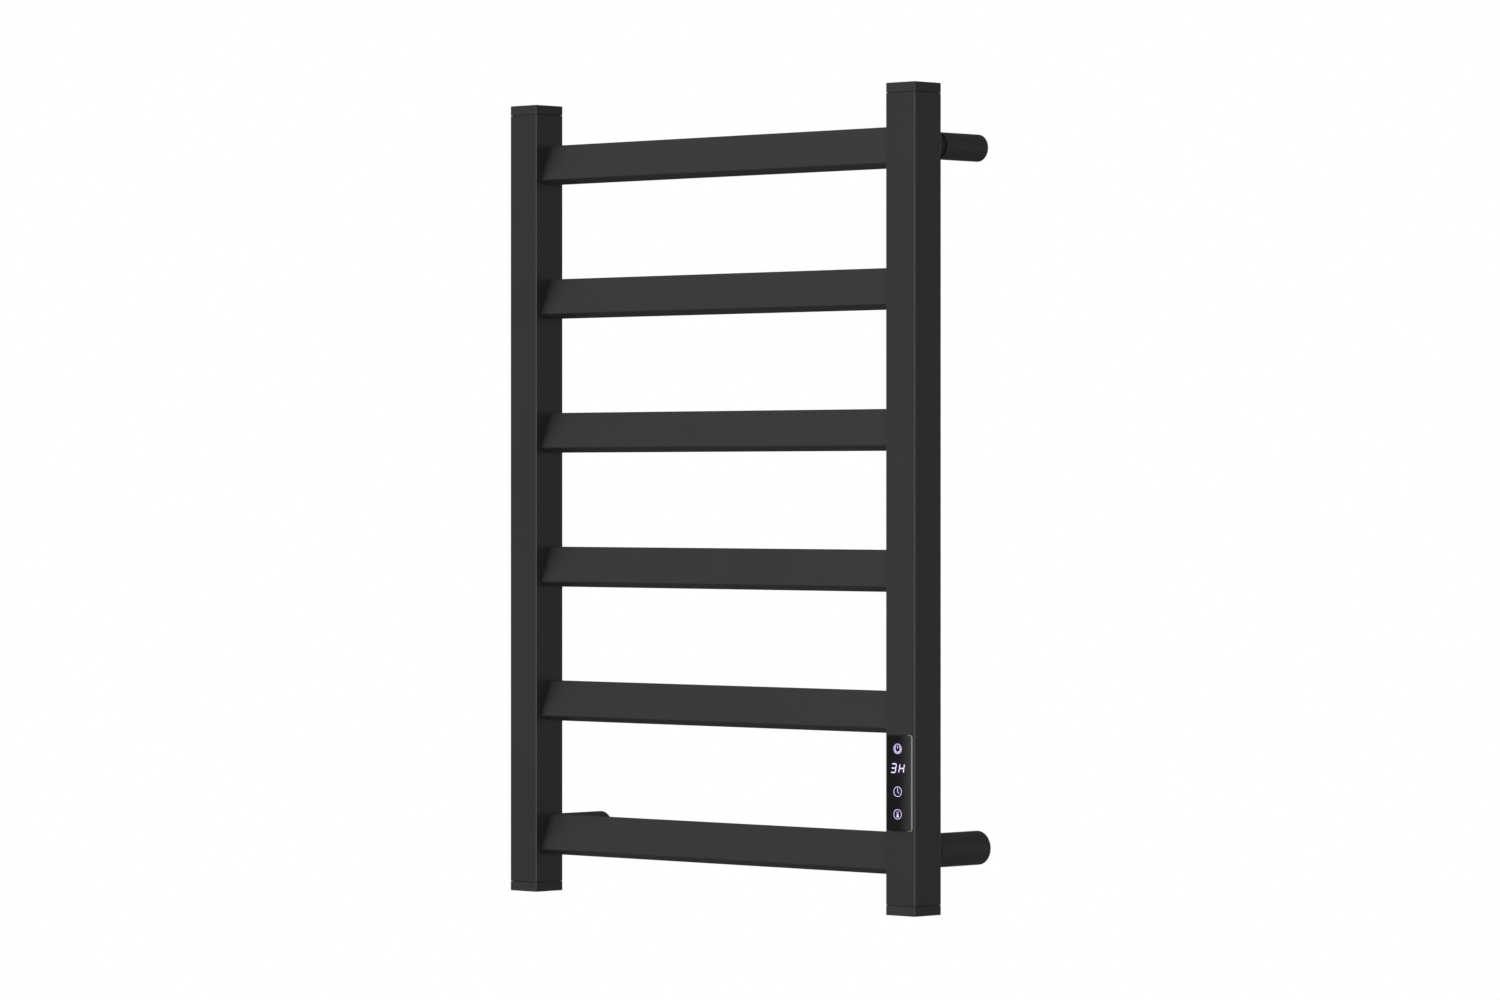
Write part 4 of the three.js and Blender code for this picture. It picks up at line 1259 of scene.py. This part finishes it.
def make_symbols():
    """The lit symbols, a hair proud of the glass."""
    depths = (GLASS_LOW.y + SYMBOL_RISE, GLASS_LOW.y - SYMBOL_RISE)
    for place, name, draw, finish in (
            ("power", "power_symbol", power_symbol, "symbol_light"),
            ("clock", "clock_symbol", clock_symbol, "symbol_light"),
            ("thermometer", "thermometer_symbol", thermometer_symbol, "symbol_light"),
            ("digits", "timer_digits", timer_digits, "digit_light")):
        bm = bmesh.new()
        draw(bm, symbol_places()[place].xz, depths)
        finish_piece(to_object(name, bm, finish), "rack", "panel_glass")


# ------------------------------------------------------------------ inside pieces

CABLE_HEIGHT = 27 * MM
KEPT_NODES = {
    "zinc_steel": ("neck_nut_top_left", "neck_nut_top_right", "neck_nut_bottom_left",
                   "neck_nut_bottom_right", "earth_screw", "board_screw_lower",
                   "board_screw_upper"),
    "cast_aluminium": ("thermal_cutout",),
    "rubber": ("cable_gland", "temperature_sensor"),
    "circuit_board": ("display_board", "control_board"),
    "terminal_plastic": ("terminal_block",),
    "lead_insulation": ("sensor_lead", "board_lead"),
}


def make_cable(sizes):
    """The heating cable, bent through every rung from the top one down."""
    low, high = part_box("heating_cable")
    block_low, block_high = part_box("terminal_block")
    radius = (high.y - low.y) / 2
    y = (low.y + high.y) / 2
    link = abs(low.x + radius)
    riser = high.x - radius
    route = [(riser, y, block_high.z + NECK_GAP)]
    way = 1
    for rung in RUNGS:
        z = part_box(rung)[0].z + CABLE_HEIGHT
        route += [(riser if rung == RUNGS[0] else way * link, y, z), (-way * link, y, z)]
        way = -way
    route.append((link, y, block_low.z - NECK_GAP))
    runs = [(i, i + 1) for i in range(len(route) - 1)]
    cable = grow("heating_cable_run", route, runs, [], cable_tree(), radius=radius,
                 bend=sizes.cable_bend, material=material("silicone"))
    finish_piece(cable, "rack", "silicone", "heating_cable")


def paint_kept_nodes():
    """Gives the nodes that stay their finishes."""
    for slot, nodes in KEPT_NODES.items():
        for node in nodes:
            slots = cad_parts[node].data.materials
            slots.clear()
            slots.append(material(slot))


# ------------------------------------------------------------------ stage

# Where each light comes from: degrees from +X towards +Y, degrees above level, degrees wide.
SOFT_LIGHTS = {
    "key": (-130, 50, 40),
    "front": (-90, 7, 60),
    "beside": (-44, 4, 20),
    "back": (88, 0, 30),
    "top": (-90, 88, 60),
}
SENSOR_WIDTH = 36
CAMERA_REACH = 50
FLOOR_ROUGHNESS = 0.7
FLOOR_CLOUDS = 6.0
FLOOR_SWING = 0.02
FLOOR_EDGE = 2 * MM
FLOOR_THICKNESS = 10 * MM


def soft_light(name, bearing, rise, spread, strength):
    """A far, wide light."""
    light = bpy.data.lights.new(name, "SUN")
    light.energy = strength
    light.angle = math.radians(spread)
    level = Vector((math.cos(math.radians(bearing)), math.sin(math.radians(bearing)), 0))
    toward = level * math.cos(math.radians(rise)) + Vector((0, 0, math.sin(math.radians(rise))))
    new_object(name, light).rotation_euler = toward.to_track_quat("Z", "Y").to_euler()


def seen_by_camera(tree, lighting, view):
    """One shader for the light that falls on things, and another for the direct view."""
    ray = add(tree, "ShaderNodeLightPath")
    return add(tree, "ShaderNodeMixShader", {
        0: ray.outputs["Is Camera Ray"], 1: lighting.outputs[0], 2: view.outputs[0]}).outputs[0]


def make_world(stage):
    """Even light from all round, with a white backdrop behind the object."""
    world = bpy.data.worlds.new("Studio")
    world.use_nodes = True
    tree = world.node_tree
    tree.nodes.clear()
    fill_light, backdrop = (add(tree, "ShaderNodeBackground", {
        "Color": (1, 1, 1, 1), "Strength": strength}) for strength in (stage.fill, 1.0))
    add(tree, "ShaderNodeOutputWorld", {"Surface": seen_by_camera(tree, fill_light, backdrop)})
    bpy.context.scene.world = world


def make_floor(stage):
    """A plain pale round floor under the rack."""
    paint, tree, shader = new_material("floor_paint", stage.floor_tone, FLOOR_ROUGHNESS)
    clouds = noise(tree, object_place(tree), FLOOR_CLOUDS, Detail=3.0)
    vary_colour(tree, shader, clouds, stage.floor_tone, 1 - FLOOR_SWING, 1 + FLOOR_SWING)
    glow = add(tree, "ShaderNodeEmission", {"Strength": stage.floor_glow})
    lifted = add(tree, "ShaderNodeAddShader", {0: shader.outputs[0], 1: glow.outputs[0]})
    fill(tree, tree.nodes["Material Output"], {"Surface": seen_by_camera(tree, shader, lifted)})
    top = CAD_BOUNDS[0][2] - stage.floor_drop
    bm = bmesh.new()
    loft(bm, [round_loop(stage.floor_radius - inset, top - drop, ROUND_STEPS)
              for inset, drop in ((0.0, FLOOR_THICKNESS), (0.0, FLOOR_EDGE), (FLOOR_EDGE, 0.0))])
    floor = to_object("floor", bm)
    floor.data.materials.append(paint)


def make_camera(stage):
    camera = bpy.data.cameras.new("View")
    camera.lens = stage.lens
    camera.sensor_width = SENSOR_WIDTH
    camera.shift_y = stage.shift
    camera.clip_end = CAMERA_REACH
    viewer = new_object("View", camera)
    viewer.location = stage.place
    viewer.rotation_euler = (math.pi / 2, 0, stage.azimuth)
    bpy.context.scene.camera = viewer


# ------------------------------------------------------------------ operators


class RACK_OT_stage(bpy.types.Operator):
    """Make the camera, lights, backdrop and floor"""
    bl_idname = "towel_rack.stage"
    bl_label = "Stage"

    def execute(self, context):
        stage = context.scene.rack_stage
        context.scene.view_settings.view_transform = "Standard"
        make_camera(stage)
        make_world(stage)
        make_floor(stage)
        for name, place in SOFT_LIGHTS.items():
            soft_light(name, *place, getattr(stage, name))
        return {"FINISHED"}


class RACK_OT_posts(bpy.types.Operator):
    """Make both posts with their slots, fixing holes and panel window"""
    bl_idname = "towel_rack.posts"
    bl_label = "Posts"

    def execute(self, context):
        for side in SIDES:
            make_post(context.scene.rack_sizes, side)
        return {"FINISHED"}


class RACK_OT_rungs(bpy.types.Operator):
    """Make the six leaning rungs"""
    bl_idname = "towel_rack.rungs"
    bl_label = "Rungs"

    def execute(self, context):
        make_rungs(context.scene.rack_sizes)
        return {"FINISHED"}


class RACK_OT_caps(bpy.types.Operator):
    """Make the four end caps"""
    bl_idname = "towel_rack.caps"
    bl_label = "End caps"

    def execute(self, context):
        for level, side in STANDS:
            make_cap(context.scene.rack_sizes, level, side)
        return {"FINISHED"}


class RACK_OT_standoffs(bpy.types.Operator):
    """Make the four telescopic standoffs with their sockets and grub screws"""
    bl_idname = "towel_rack.standoffs"
    bl_label = "Standoffs"

    def execute(self, context):
        for level, side in STANDS:
            make_sleeve(context.scene.rack_sizes, level, side)
            make_neck(context.scene.rack_sizes, level, side)
            make_socket(context.scene.rack_sizes, level, side)
        tree = repeat_tree()
        for kind in SCREW_KINDS:
            make_grub_screws(kind, tree)
        return {"FINISHED"}


class RACK_OT_panel(bpy.types.Operator):
    """Make the touch panel and its lit symbols"""
    bl_idname = "towel_rack.panel"
    bl_label = "Touch panel"

    def execute(self, context):
        make_housing()
        make_glass(context.scene.rack_sizes)
        make_symbols()
        return {"FINISHED"}


class RACK_OT_inside(bpy.types.Operator):
    """Make the heating cable and paint the pieces inside"""
    bl_idname = "towel_rack.inside"
    bl_label = "Inside pieces"

    def execute(self, context):
        make_cable(context.scene.rack_sizes)
        paint_kept_nodes()
        return {"FINISHED"}


OPERATORS = (RACK_OT_stage, RACK_OT_posts, RACK_OT_rungs, RACK_OT_caps, RACK_OT_standoffs,
             RACK_OT_panel, RACK_OT_inside)
SETTINGS = {"rack_sizes": RackSizes, "rack_finish": RackFinish, "rack_stage": RackStage}


class RACK_PT_sidebar(bpy.types.Panel):
    """The rack's operators and settings"""
    bl_idname = "RACK_PT_sidebar"
    bl_label = "Towel warmer rack"
    bl_space_type = "VIEW_3D"
    bl_region_type = "UI"
    bl_category = "Towel rack"

    def draw(self, context):
        for operator in OPERATORS:
            self.layout.operator(operator.bl_idname)
        for group in SETTINGS:
            settings = getattr(context.scene, group)
            box = self.layout.box()
            for name in settings.bl_rna.properties.keys():
                if name not in ("rna_type", "name"):
                    box.prop(settings, name)


CLASSES = (*SETTINGS.values(), *OPERATORS, RACK_PT_sidebar)


def register():
    for cls in CLASSES:
        bpy.utils.register_class(cls)
    for name, group in SETTINGS.items():
        setattr(bpy.types.Scene, name, PointerProperty(type=group))


def unregister():
    for name in SETTINGS:
        delattr(bpy.types.Scene, name)
    for cls in reversed(CLASSES):
        bpy.utils.unregister_class(cls)


def plain(bounds):
    """A box as two lists of numbers."""
    return [list(map(float, corner)) for corner in bounds]


def main():
    register()
    bpy.ops.towel_rack.stage()
    bpy.ops.towel_rack.posts()
    bpy.ops.towel_rack.rungs()
    bpy.ops.towel_rack.caps()
    bpy.ops.towel_rack.standoffs()
    bpy.ops.towel_rack.panel()
    bpy.ops.towel_rack.inside()


if __name__ == "__main__":
    main()
